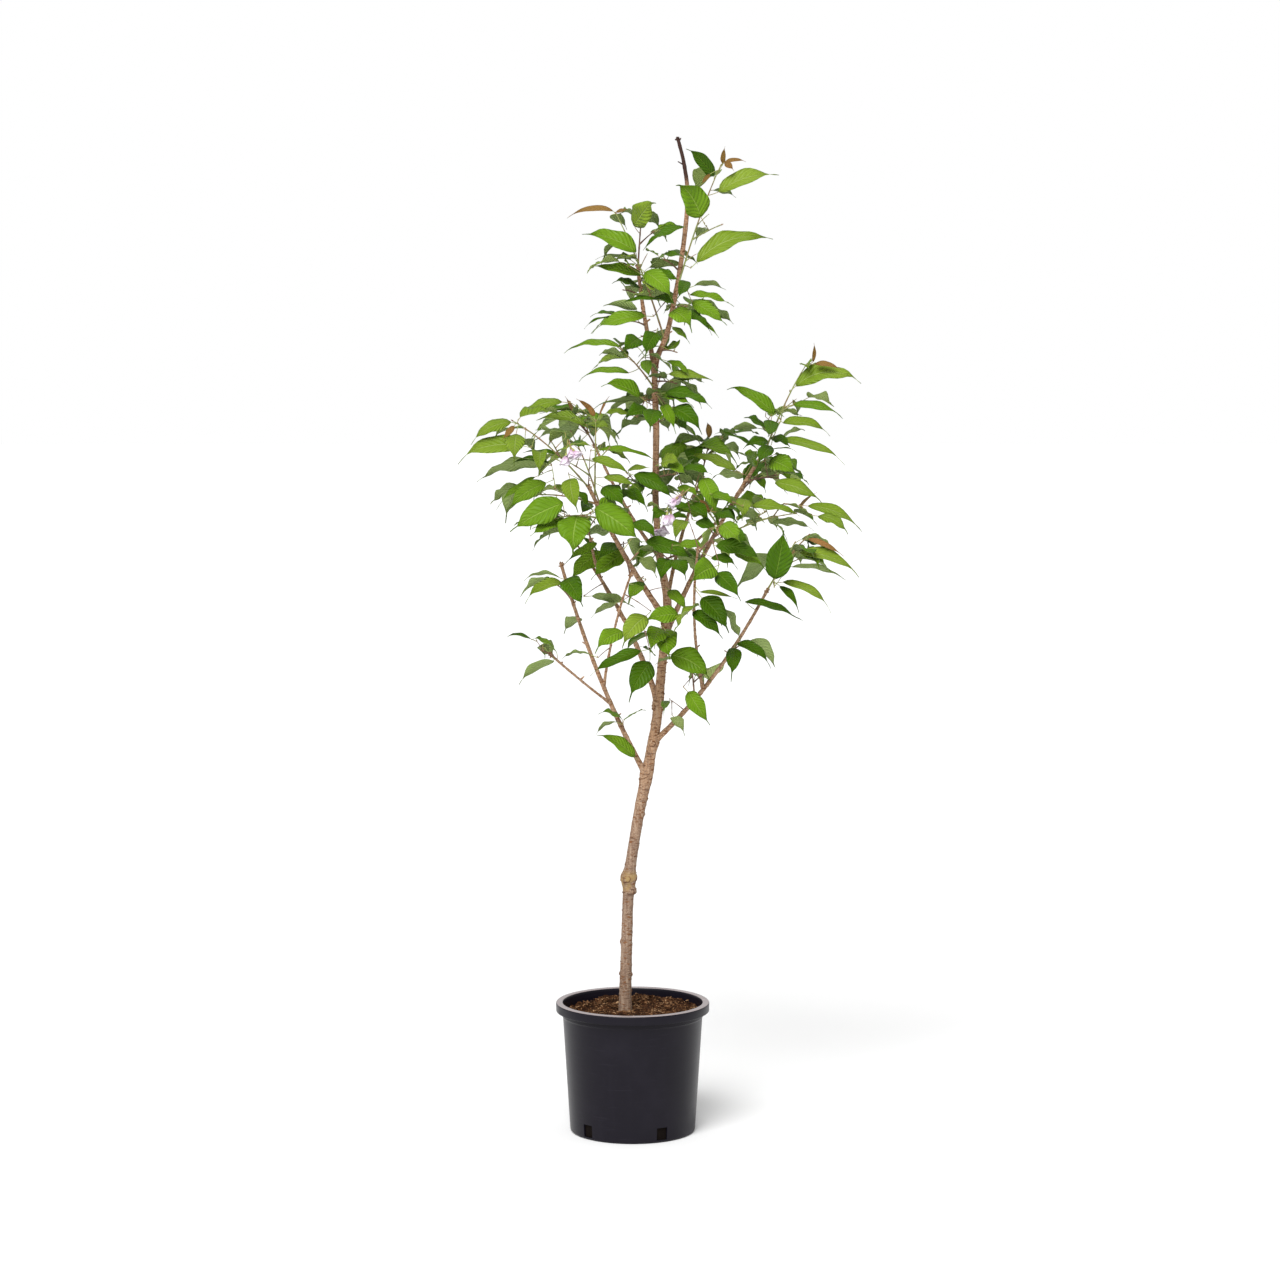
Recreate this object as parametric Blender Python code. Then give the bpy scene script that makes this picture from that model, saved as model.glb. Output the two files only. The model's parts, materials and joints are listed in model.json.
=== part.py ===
"""Young cherry tree with two leaders, grown in a round nursery pot filled with bark and coir."""

import math
import random
from collections import namedtuple

import bmesh
import bpy
from mathutils import Vector
from mathutils.bvhtree import BVHTree

# Lengths in metres, +Z up, origin at the centre of the pot's flat underside, the crown's fuller side to +X.
GAP = 0.0003
WELD = 1e-7
SHARP_DEG = 50.0

# Pot
POT_HEIGHT = 0.302
POT_RIM_RADIUS = 0.178
POT_MOUTH_RADIUS = 0.1630
POT_WALL_TOP_RADIUS = 0.1640
POT_WALL_FOOT_RADIUS = 0.1450
POT_WALL = 0.0027
POT_FLOOR = 0.004
POT_CORNER = 0.005
LIP_DROP = 0.021
LIP_EDGE = 0.003
LIP_WALL = 0.0028
SHOULDER_DROP = 0.012
SHOULDER_STEP = 0.0012
POT_SIDES = 35
NOTCHES = 5
NOTCH_FOOT = 0.006
NOTCH_TOP = 0.035
NOTCH_FIRST_DEG = -134.5

# Soil
SOIL_TOP = 0.280
SOIL_SWELL = 0.006
SOIL_PATCH_RADIUS = 0.030
SOIL_RINGS = (0.40, 0.74)
SOIL_LUMPS = (-0.7, 0.7)
SOIL_EDGE_LUMPS = (0.6, 1.4)
SOIL_SEED = 7

# Trunk: height, x, y and diameter of each station of its centre line, from the soil up to the cut tip
TRUNK_LINE = (
    (0.2803, -0.017, 0.000, 0.0330),
    (0.320, -0.017, 0.000, 0.0290),
    (0.470, -0.013, 0.003, 0.0262),
    (0.560, -0.010, 0.004, 0.0268),
    (0.589, -0.009, 0.004, 0.0355),
    (0.618, -0.005, 0.004, 0.0268),
    (0.690, 0.006, 0.003, 0.0255),
    (0.765, 0.019, 0.001, 0.0260),
    (0.830, 0.033, 0.000, 0.0285),
    (0.882, 0.042, -0.001, 0.0250),
    (0.977, 0.058, -0.002, 0.0232),
    (1.068, 0.066, 0.000, 0.0215),
    (1.183, 0.077, 0.003, 0.0198),
    (1.240, 0.079, 0.004, 0.0192),
    (1.332, 0.064, 0.004, 0.0165),
    (1.460, 0.053, 0.002, 0.0150),
    (1.626, 0.054, 0.000, 0.0150),
    (1.768, 0.052, -0.001, 0.0138),
    (1.850, 0.080, -0.003, 0.0122),
    (1.991, 0.108, -0.002, 0.0115),
    (2.139, 0.125, 0.002, 0.0108),
    (2.222, 0.118, 0.003, 0.0092),
    (2.288, 0.102, 0.004, 0.0084),
)
TRUNK_SIDES = 9

# Boughs: name, limb it leaves, height of its foot, tip, how far its middle bows, diameters at foot and tip
Bough = namedtuple("Bough", "name parent height tip bow foot_width tip_width")
BOUGHS = (
    Bough("leader_left", "trunk", 1.765, (0.012, 0.03, 2.0), (-0.004, 0.0, -0.004), 0.0120, 0.0072),
    Bough("bough_left_low", "trunk", 0.828, (-0.162, -0.1, 1.327), (-0.01, 0.0, -0.016), 0.0135, 0.0070),
    Bough(
        "bough_left_side", "bough_left_low", 1.0, (-0.185, -0.16, 1.125), (0.004, 0.0, -0.006), 0.0062, 0.0050
    ),
    Bough(
        "bough_left_front", "bough_left_low", 1.04, (-0.002, -0.2, 1.31), (-0.006, 0.0, 0.006), 0.0062, 0.0048
    ),
    Bough("bough_left_mid", "trunk", 0.995, (-0.123, 0.12, 1.345), (0.014, 0.0, 0.012), 0.0145, 0.0062),
    Bough(
        "bough_left_fork", "bough_left_mid", 1.222, (-0.096, 0.05, 1.372), (-0.01, 0.0, -0.004), 0.0072, 0.0058
    ),
    Bough("bough_left_high", "trunk", 1.19, (-0.1, -0.08, 1.5), (-0.006, 0.0, -0.006), 0.0148, 0.0080),
    Bough("bough_right_low", "trunk", 0.905, (0.306, -0.12, 1.27), (0.01, 0.0, -0.02), 0.0132, 0.0062),
    Bough(
        "bough_right_front", "bough_right_low", 1.035, (0.146, -0.22, 1.367), (-0.014, 0.0, -0.004), 0.007, 0.005
    ),
    Bough("bough_right_high", "trunk", 1.15, (0.314, 0.12, 1.585), (-0.014, 0.0, -0.002), 0.0130, 0.0080),
    Bough("bough_back_mid", "trunk", 1.216, (0.165, 0.2, 1.52), (-0.014, -0.012, -0.012), 0.0105, 0.0062),
    Bough("bough_back_left", "trunk", 1.33, (-0.09, 0.24, 1.585), (-0.004, 0.004, -0.012), 0.0098, 0.0060),
    Bough(
        "bough_back_right", "bough_back_mid", 1.33, (0.262, 0.29, 1.48), (0.006, 0.01, -0.008), 0.0066, 0.0052
    ),
)
BOUGH_SIDES = 6
BOUGH_RINGS = 7
BOUGH_TAPER = 0.8

# Sprays of foliage: name, limb, height of the stem's foot, stem's reach, side twigs, leaves, leaf length,
# young leaves at the stem's tip, blossoms, and the least and greatest slope of a leaf where its blade begins
Spray = namedtuple("Spray", "name parent height reach twigs leaves leaf young blossoms pitch")
LEVEL = (-22.0, 30.0)
LOOSE = (-46.0, 12.0)
HANGING = (-60.0, -8.0)
SPRAYS = (
    Spray("foliage_top_right", "trunk", 1.915, (0.106, -0.03, 0.306), 1, 8, 0.15, 3, 0, LEVEL),
    Spray("foliage_top_left", "trunk", 1.83, (-0.11, -0.055, 0.282), 1, 7, 0.125, 3, 0, LEVEL),
    Spray("foliage_leader_tip", "leader_left", 1.997, (0.008, 0.012, 0.112), 1, 6, 0.105, 2, 0, LEVEL),
    Spray("foliage_leader_high", "leader_left", 1.93, (-0.04, 0.016, 0.014), 0, 6, 0.112, 0, 0, LEVEL),
    Spray("foliage_leader_low", "leader_left", 1.862, (-0.034, -0.02, 0.01), 0, 6, 0.112, 0, 0, LEVEL),
    Spray("foliage_leader_mid", "trunk", 1.985, (-0.034, -0.01, 0.026), 0, 6, 0.105, 0, 0, LEVEL),
    Spray("foliage_leader_side", "trunk", 1.895, (0.034, 0.018, 0.012), 0, 6, 0.112, 0, 0, LEVEL),
    Spray("foliage_fork", "trunk", 1.806, (0.034, -0.022, -0.004), 0, 6, 0.1, 0, 0, LEVEL),
    Spray("foliage_mid_shoot", "trunk", 1.715, (-0.086, -0.045, 0.098), 0, 5, 0.1, 0, 0, LEVEL),
    Spray("foliage_mid_left", "trunk", 1.69, (-0.036, -0.014, 0.004), 0, 7, 0.108, 0, 0, LEVEL),
    Spray("foliage_mid_right", "trunk", 1.735, (0.046, -0.018, -0.004), 0, 7, 0.105, 0, 0, LEVEL),
    Spray("foliage_mid_back", "trunk", 1.64, (0.006, 0.04, 0.002), 0, 6, 0.1, 0, 0, LEVEL),
    Spray("foliage_centre_left", "trunk", 1.49, (-0.04, 0.014, 0.006), 0, 7, 0.112, 0, 0, LEVEL),
    Spray("foliage_centre_right", "trunk", 1.515, (0.044, -0.01, 0.008), 0, 7, 0.112, 0, 0, LEVEL),
    Spray("foliage_centre_front", "trunk", 1.425, (0.022, -0.062, 0.012), 0, 8, 0.112, 0, 2, LEVEL),
    Spray("foliage_centre_low", "trunk", 1.32, (0.034, -0.07, 0.02), 1, 10, 0.11, 0, 0, LOOSE),
    Spray("foliage_back_mid", "bough_back_mid", 1.512, (0.02, 0.05, 0.08), 2, 8, 0.112, 1, 0, LEVEL),
    Spray("foliage_back_left", "bough_back_left", 1.577, (-0.05, 0.04, 0.076), 2, 8, 0.115, 1, 0, LEVEL),
    Spray("foliage_back_right", "bough_back_right", 1.474, (0.06, 0.03, 0.05), 2, 8, 0.112, 1, 0, LEVEL),
    Spray("foliage_left_edge", "bough_left_high", 1.458, (-0.166, -0.03, 0.02), 2, 10, 0.132, 0, 1, LEVEL),
    Spray("foliage_left_outer", "bough_left_high", 1.492, (-0.172, -0.07, 0.156), 1, 8, 0.146, 2, 0, LEVEL),
    Spray("foliage_left_shoot", "bough_left_high", 1.47, (0.002, 0.05, 0.176), 1, 6, 0.112, 2, 0, LEVEL),
    Spray("foliage_left_back", "bough_left_high", 1.43, (-0.076, 0.13, 0.19), 1, 6, 0.112, 2, 0, LEVEL),
    Spray("foliage_left_front", "bough_left_high", 1.42, (-0.11, -0.11, 0.01), 2, 10, 0.128, 0, 0, LOOSE),
    Spray("foliage_left_mid", "bough_left_mid", 1.338, (-0.05, 0.03, 0.06), 1, 7, 0.115, 0, 0, LEVEL),
    Spray("foliage_left_fork", "bough_left_fork", 1.366, (-0.02, -0.01, 0.062), 1, 7, 0.112, 0, 0, LEVEL),
    Spray("foliage_left_low", "bough_left_low", 1.24, (-0.034, 0.014, 0.034), 0, 6, 0.092, 0, 0, LEVEL),
    Spray("foliage_left_side", "bough_left_side", 1.121, (-0.022, -0.014, 0.012), 0, 5, 0.09, 0, 0, LEVEL),
    Spray("foliage_left_foot", "bough_left_low", 0.93, (-0.004, -0.03, 0.024), 0, 5, 0.088, 0, 0, LEVEL),
    Spray("foliage_front_left", "bough_left_front", 1.303, (-0.016, -0.06, 0.06), 1, 8, 0.112, 0, 0, HANGING),
    Spray("foliage_front_low", "trunk", 1.13, (-0.044, -0.08, 0.04), 1, 9, 0.108, 0, 0, LOOSE),
    Spray("foliage_front_foot", "bough_right_low", 1.01, (-0.01, -0.07, 0.09), 1, 7, 0.108, 0, 0, LOOSE),
    Spray(
        "foliage_front_right", "bough_right_front", 1.352, (0.05, -0.066, 0.052), 2, 9, 0.118, 0, 0, HANGING
    ),
    Spray("foliage_front_mid", "bough_right_front", 1.2, (0.026, -0.044, 0.034), 0, 7, 0.112, 0, 0, LOOSE),
    Spray("foliage_right_shoot", "bough_right_high", 1.578, (0.092, -0.02, 0.196), 1, 9, 0.124, 3, 0, LEVEL),
    Spray("foliage_right_inner", "bough_right_high", 1.4, (-0.064, -0.084, 0.07), 2, 10, 0.118, 0, 0, LEVEL),
    Spray("foliage_right_mid", "bough_right_high", 1.5, (0.074, -0.08, 0.014), 1, 9, 0.118, 0, 0, LEVEL),
    Spray("foliage_right_edge", "bough_right_high", 1.36, (0.196, -0.06, 0.074), 2, 11, 0.12, 1, 0, LEVEL),
    Spray("foliage_right_low", "bough_right_low", 1.262, (0.094, -0.026, 0.13), 1, 10, 0.126, 2, 0, LEVEL),
    Spray("foliage_right_knob", "bough_right_low", 1.12, (0.03, -0.02, 0.022), 0, 6, 0.098, 0, 0, HANGING),
)
SPRAY_SEED = 4280
STEM_SIDES = 3
STEM_WIDTH = 0.0046
STEM_TIP_WIDTH = 0.0030
TWIG_WIDTH = 0.0036
TWIG_TIP_WIDTH = 0.0030
STEM_SEGMENT = 0.060
STEM_SAG = 0.06
TWIG_SAG = 0.03
TWIG_SHARE = 0.45
TWIG_LEAST = 0.045
TWIG_FIRST = 0.40
TWIG_SPREAD = 0.35
TWIG_SPACING = (0.8, 1.0)
TWIG_TURN = 0.5
TWIG_FORWARD = 0.55
TWIG_AWAY = 0.80
TWIG_FLATNESS = 0.4
TWIG_RISE = 0.15

# Leaves: where they sit along a stem, then how each stands.
# A stem shorter than the rosette's length bears them round its tip.
ROSETTE_LENGTH = 0.075
ROSETTE_FIRST = 0.50
ROSETTE_LEAN = 0.35
STEM_FIRST = 0.22
TWIG_LEAF_FIRST = 0.45
LEAF_LAST = 0.97
YOUNG_PLACE = 0.985
PLACE_PLAY = (0.2, 0.8)
LEAN = 0.55
LEAF_TRIES = 14
LEAF_SHIFT = 0.25
LEAF_MARGIN = 0.0012
OWN_MARGIN = 0.0004
STALK_WIDTH = 0.0022
STALK_FOOT_WIDTH = 0.0014
STALK_LENGTH = (0.018, 0.028)
STALK_FORWARD = 0.45
STALK_AWAY = 0.85
STALK_RISE = 0.35
LENGTH_PLAY = (0.72, 1.18)
WIDTH_PLAY = (0.88, 1.12)
LEAF_WIDTH_SHARE = 0.50
DROOP_DEG = (24.0, 54.0)
SWEEP_DEG = 22.0
ROLL_DEG = 34.0
FOLD_DEG = (14.0, 32.0)
LEAF_THICKNESS_SHARE = 1.0 / 75.0
LEAF_LEAST_THICKNESS = 0.0012
LEAF_STATIONS = ((0.32, 1.0), (0.68, 0.64))
YOUNG_STATIONS = ((0.42, 1.0),)
PHYLLOTAXY_DEG = 137.5
MARCH_STEPS = 12
YOUNG_SHARE = 0.46
YOUNG_WIDTH_SHARE = 0.62
YOUNG_STALK_SHARE = 0.6
YOUNG_STALK_RISE = 0.9
YOUNG_PITCH_DEG = (35.0, 75.0)
YOUNG_DROOP_DEG = (10.0, 30.0)

# Blossoms
PEDICEL_DROP = 0.034
PEDICEL_WIDTH = 0.0024
PETALS = 5
BLOSSOM_RADIUS = 0.018
BLOSSOM_WAIST = 0.009
BLOSSOM_DROP = 0.017
BLOSSOM_WALL = 0.0030
BLOSSOM_FIRST = 0.55
BLOSSOM_STEP = 0.30
PEDICEL_PLAY = (0.9, 1.3)
PEDICEL_SWING = 0.3
PEDICEL_LEAN = 0.5

Leaf = namedtuple("Leaf", "foot neck heading pitch droop sweep roll fold length width kind")
Stem = namedtuple("Stem", "points radii")
Limb = namedtuple("Limb", "name points radii solid swollen")


def clear_scene():
    """Remove what a fresh file holds."""
    for item in list(bpy.data.objects):
        bpy.data.objects.remove(item, do_unlink=True)


def make_material(name, colour, roughness, metallic=0.0):
    """A plain surface colour with its roughness."""
    material = bpy.data.materials.new(name)
    material.use_nodes = True
    shader = material.node_tree.nodes["Principled BSDF"]
    shader.inputs["Base Color"].default_value = (*colour, 1.0)
    shader.inputs["Roughness"].default_value = roughness
    shader.inputs["Metallic"].default_value = metallic
    material.diffuse_color = (*colour, 1.0)
    return material


def pot_plastic():
    """Near-black matt plastic."""
    return make_material("pot_plastic", (0.020, 0.021, 0.024), 0.55)


def bark_coir():
    """Brown bark and coir filling."""
    return make_material("bark_coir", (0.110, 0.058, 0.030), 0.95)


def cherry_bark():
    """Pinkish-tan young bark."""
    return make_material("cherry_bark", (0.330, 0.205, 0.140), 0.70)


def leaf_green():
    """Fresh mid-green foliage."""
    return make_material("leaf_green", (0.110, 0.240, 0.030), 0.50)


def finish_object(name, mesh, material):
    """Link a mesh into the scene as a named, dressed object."""
    mesh.materials.clear()
    mesh.materials.append(material)
    item = bpy.data.objects.new(name, mesh)
    bpy.context.scene.collection.objects.link(item)
    return item


def shade_round(item):
    """Shade a round piece smooth, with its edges kept."""
    item.data.shade_smooth()
    item.data.set_sharp_from_angle(angle=math.radians(SHARP_DEG))


def mesh_from(name, bm):
    """Turn a bmesh into a mesh with its faces turned outward."""
    bmesh.ops.recalc_face_normals(bm, faces=bm.faces)
    mesh = bpy.data.meshes.new(name)
    bm.to_mesh(mesh)
    bm.free()
    return mesh


def bridge(bm, lower, upper):
    """Join two rings of the same count by quads."""
    count = len(lower)
    for k in range(count):
        after = (k + 1) % count
        bm.faces.new((lower[k], lower[after], upper[after], upper[k]))


def ring_axes(direction):
    """Two directions across a given one."""
    helper = Vector((0.0, 0.0, 1.0)) if abs(direction.z) < 0.9 else Vector((0.0, 1.0, 0.0))
    across = helper.cross(direction).normalized()
    return across, direction.cross(across).normalized()


def tube(bm, points, radii, sides):
    """Add a closed tapering tube along a line, its rings carried along without twist."""
    across = None
    rings = []
    for k, point in enumerate(points):
        before = points[max(k - 1, 0)]
        after = points[min(k + 1, len(points) - 1)]
        direction = (after - before).normalized()
        if across is None:
            across, _ = ring_axes(direction)
        across = (across - direction * across.dot(direction)).normalized()
        other = direction.cross(across)
        ring = []
        for side in range(sides):
            angle = 2.0 * math.pi * side / sides
            offset = across * math.cos(angle) + other * math.sin(angle)
            ring.append(bm.verts.new(point + offset * radii[k]))
        rings.append(ring)
    for lower, upper in zip(rings, rings[1:]):
        bridge(bm, lower, upper)
    bm.faces.new(rings[0])
    bm.faces.new(rings[-1])


def pot_turn(k):
    """Direction from the pot's axis to its corner k; the first notch lies between corners 0 and 1."""
    angle = math.radians(NOTCH_FIRST_DEG) + 2.0 * math.pi * (k - 0.5) / POT_SIDES
    return Vector((math.cos(angle), math.sin(angle), 0.0))


def lathe(bm, profile):
    """Turn a profile of (radius, height) about Z, closing its ends with a flat face, and return its rings."""
    rings = []
    for radius, height in profile:
        rise = Vector((0.0, 0.0, height))
        rings.append([bm.verts.new(pot_turn(k) * radius + rise) for k in range(POT_SIDES)])
    for lower, upper in zip(rings, rings[1:]):
        bridge(bm, lower, upper)
    bm.faces.new(rings[0])
    bm.faces.new(rings[-1])
    return rings


def open_notch(bm, outer, inner, k):
    """Open the wall between two pairs of rings at one side, and close the opening's own four edges."""
    outlines = []
    for low, high in (outer, inner):
        outline = (low[k], low[k + 1], high[k + 1], high[k])
        bm.faces.remove(bm.faces.get(outline))
        outlines.append(outline)
    for corner in range(4):
        after = (corner + 1) % 4
        bm.faces.new((outlines[0][corner], outlines[0][after], outlines[1][after], outlines[1][corner]))


def apply_boolean(item, operation, operand=None, group=None, solver="EXACT"):
    """Apply one Boolean to an object, with another object or with a collection."""
    modifier = item.modifiers.new("shape", "BOOLEAN")
    modifier.operation = operation
    modifier.solver = solver
    if group is None:
        modifier.object = operand
    else:
        modifier.operand_type = "COLLECTION"
        modifier.collection = group
    bpy.context.view_layer.update()
    shaped = item.evaluated_get(bpy.context.evaluated_depsgraph_get())
    mesh = bpy.data.meshes.new_from_object(shaped)
    item.modifiers.clear()
    old = item.data
    item.data = mesh
    bpy.data.meshes.remove(old)


def remove_object(item):
    """Remove an object with its mesh."""
    mesh = item.data
    bpy.data.objects.remove(item, do_unlink=True)
    bpy.data.meshes.remove(mesh)


def parts_of(bm):
    """The mesh's separate pieces as lists of vertices, largest first."""
    seen = set()
    parts = []
    for start in bm.verts:
        if start.index in seen:
            continue
        seen.add(start.index)
        part = []
        queue = [start]
        while queue:
            vertex = queue.pop()
            part.append(vertex)
            for edge in vertex.link_edges:
                other = edge.other_vert(vertex)
                if other.index not in seen:
                    seen.add(other.index)
                    queue.append(other)
        parts.append(part)
    return sorted(parts, key=len, reverse=True)


def keep_main_piece(item):
    """Weld hair cracks and drop loose scraps and sealed hollows."""
    bm = bmesh.new()
    bm.from_mesh(item.data)
    bmesh.ops.remove_doubles(bm, verts=bm.verts, dist=WELD)
    bm.verts.index_update()
    for part in parts_of(bm)[1:]:
        bmesh.ops.delete(bm, geom=part, context="VERTS")
    bmesh.ops.triangulate(bm, faces=bm.faces)
    bm.to_mesh(item.data)
    bm.free()


def inner_radius(height):
    """Radius of the pot's inner wall at a height."""
    return outer_radius(height) - SHOULDER_STEP - POT_WALL


def outer_radius(height):
    """Radius of the pot's outer wall at a height, taken on above its shoulder."""
    share = height / (POT_HEIGHT - LIP_DROP)
    return POT_WALL_FOOT_RADIUS + (POT_WALL_TOP_RADIUS - POT_WALL_FOOT_RADIUS) * share


def pot_outside():
    """The pot's outline up the outside, to the shoulder under the lip."""
    shoulder = POT_HEIGHT - LIP_DROP - SHOULDER_DROP
    foot = POT_WALL_FOOT_RADIUS - POT_CORNER
    turns = (0.0, math.radians(45.0), math.radians(90.0))
    corner = [(foot + POT_CORNER * math.sin(a), POT_CORNER * (1.0 - math.cos(a))) for a in turns]
    notch = [(outer_radius(height), height) for height in (NOTCH_FOOT, NOTCH_TOP)]
    step_foot = (outer_radius(shoulder) - SHOULDER_STEP, shoulder)
    return [*corner, *notch, step_foot, (POT_WALL_TOP_RADIUS, shoulder + SHOULDER_STEP)]


def pot_lip():
    """The rolled lip's outline, from the wall out, down, round its edge and back up to the rim."""
    foot = POT_HEIGHT - LIP_DROP
    ceiling = POT_HEIGHT - LIP_WALL
    inner = POT_RIM_RADIUS - LIP_WALL
    return [
        (POT_WALL_TOP_RADIUS, ceiling),
        (inner, ceiling),
        (inner, foot + LIP_EDGE),
        (inner - LIP_EDGE / 2.0, foot),
        (POT_RIM_RADIUS - LIP_EDGE / 3.0, foot),
        (POT_RIM_RADIUS, foot + LIP_EDGE),
        (POT_RIM_RADIUS, POT_HEIGHT - LIP_EDGE),
        (POT_RIM_RADIUS - LIP_EDGE, POT_HEIGHT),
        (POT_MOUTH_RADIUS, POT_HEIGHT),
    ]


def pot_inside():
    """The pot's outline down the inside, to the floor."""
    heights = (POT_HEIGHT - POT_WALL, NOTCH_TOP, NOTCH_FOOT, POT_FLOOR)
    return [(inner_radius(height), height) for height in heights]


def build_pot(material):
    """The thin-walled pot with its rolled lip and drainage notches."""
    bm = bmesh.new()
    outside = pot_outside()
    rings = lathe(bm, outside + pot_lip() + pot_inside())
    notch_foot = outside.index((outer_radius(NOTCH_FOOT), NOTCH_FOOT))
    outer = rings[notch_foot : notch_foot + 2]
    inner = rings[-2:-4:-1]
    for k in range(NOTCHES):
        open_notch(bm, outer, inner, k * POT_SIDES // NOTCHES)
    bmesh.ops.triangulate(bm, faces=bm.faces)
    shade_round(finish_object("pot", mesh_from("pot", bm), material))


def build_soil(material):
    """The filling, with a lumpy top and a level patch under the trunk."""
    rng = random.Random(SOIL_SEED)
    foot_x = TRUNK_LINE[0][1]
    bottom = POT_FLOOR + GAP
    patch_level = TRUNK_LINE[0][0] - GAP
    bm = bmesh.new()
    levels = [[] for _ in range(3 + len(SOIL_RINGS))]
    for k in range(POT_SIDES):
        turn = pot_turn(k)
        edge_height = SOIL_TOP - SOIL_SWELL * rng.uniform(*SOIL_EDGE_LUMPS)
        reach = inner_radius(edge_height) - GAP
        places = [(inner_radius(bottom) - GAP, bottom, 1.0), (reach, edge_height, 1.0)]
        for share in reversed(SOIL_RINGS):
            radius = SOIL_PATCH_RADIUS + (reach - SOIL_PATCH_RADIUS) * share
            places.append((radius, SOIL_TOP + SOIL_SWELL * rng.uniform(*SOIL_LUMPS), share))
        places.append((SOIL_PATCH_RADIUS, patch_level, 0.0))
        for level, (radius, height, share) in zip(levels, places):
            level.append(bm.verts.new(turn * radius + Vector((foot_x * (1.0 - share), 0.0, height))))
    for lower, upper in zip(levels, levels[1:]):
        bridge(bm, lower, upper)
    bm.faces.new(levels[0])
    bm.faces.new(levels[-1])
    bmesh.ops.triangulate(bm, faces=bm.faces)
    finish_object("soil", mesh_from("soil", bm), material)


def bowed_line(start, end, bow, count):
    """Points of a line from start to end whose middle is moved by the bow."""
    middle = (start + end) * 0.5 + bow * 2.0
    points = []
    for k in range(count):
        t = k / (count - 1)
        points.append(start * (1.0 - t) ** 2 + middle * (2.0 * t * (1.0 - t)) + end * t**2)
    return points


def at_height(limb, height):
    """The point of a limb's centre line at a height."""
    for a, b in zip(limb.points, limb.points[1:]):
        if a.z <= height <= b.z:
            return a.lerp(b, (height - a.z) / (b.z - a.z))
    return limb.points[-1].copy()


def tube_object(name, points, radii, sides, material):
    """A closed tapering tube as an object."""
    bm = bmesh.new()
    tube(bm, points, radii, sides)
    return finish_object(name, mesh_from(name, bm), material)


def swollen_tube(name, points, radii, sides, material):
    """The same tube grown by the gap all round, to cut what leaves it."""
    first = (points[0] - points[1]).normalized() * GAP
    last = (points[-1] - points[-2]).normalized() * GAP
    stretched = [points[0] + first, *points[1:-1], points[-1] + last]
    return tube_object(name, stretched, [radius + GAP for radius in radii], sides, material)


def build_trunk(material):
    """The trunk with its leaning line, graft swelling and cut tip."""
    points = [Vector((x, y, height)) for height, x, y, _ in TRUNK_LINE]
    radii = [width / 2.0 for *_, width in TRUNK_LINE]
    solid = tube_object("trunk", points, radii, TRUNK_SIDES, material)
    swollen = swollen_tube("swollen", points, radii, TRUNK_SIDES, material)
    shade_round(solid)
    return Limb("trunk", points, radii, solid, swollen)


def build_bough(row, limbs, material):
    """One tapering bough, its foot shaped to the limb that carries it."""
    parent = limbs[row.parent]
    start = at_height(parent, row.height)
    points = bowed_line(start, Vector(row.tip), Vector(row.bow), BOUGH_RINGS)
    taper = [k / (BOUGH_RINGS - 1) for k in range(BOUGH_RINGS)]
    radii = [(row.foot_width + (row.tip_width - row.foot_width) * t**BOUGH_TAPER) / 2.0 for t in taper]
    solid = tube_object(row.name, points, radii, BOUGH_SIDES, material)
    swollen = swollen_tube("swollen", points, radii, BOUGH_SIDES, material)
    apply_boolean(solid, "DIFFERENCE", parent.swollen)
    keep_main_piece(solid)
    shade_round(solid)
    return Limb(row.name, points, radii, solid, swollen)


def leaf_line(leaf, shares):
    """Point, side and upward directions of a leaf's midrib at each share of its length."""
    stations = []
    point = leaf.neck.copy()
    done = 0.0
    for share in shares:
        steps = max(1, round((share - done) * MARCH_STEPS))
        step = (share - done) / steps
        for _ in range(steps):
            forward, _, _ = leaf_axes(leaf, done + step / 2.0)
            point = point + forward * (leaf.length * step)
            done += step
        _, side, up = leaf_axes(leaf, share)
        stations.append((point.copy(), side, up))
    return stations


def leaf_axes(leaf, share):
    """Forward, side and upward directions at a share of the leaf's length."""
    pitch = leaf.pitch - leaf.droop * share
    turn = leaf.heading + leaf.sweep * share
    level = Vector((math.cos(turn), math.sin(turn), 0.0))
    rise = Vector((0.0, 0.0, 1.0))
    forward = level * math.cos(pitch) + rise * math.sin(pitch)
    up = rise * math.cos(pitch) - level * math.sin(pitch)
    side = forward.cross(up)
    rolled_side = side * math.cos(leaf.roll) + up * math.sin(leaf.roll)
    rolled_up = up * math.cos(leaf.roll) - side * math.sin(leaf.roll)
    return forward, rolled_side, rolled_up


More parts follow.
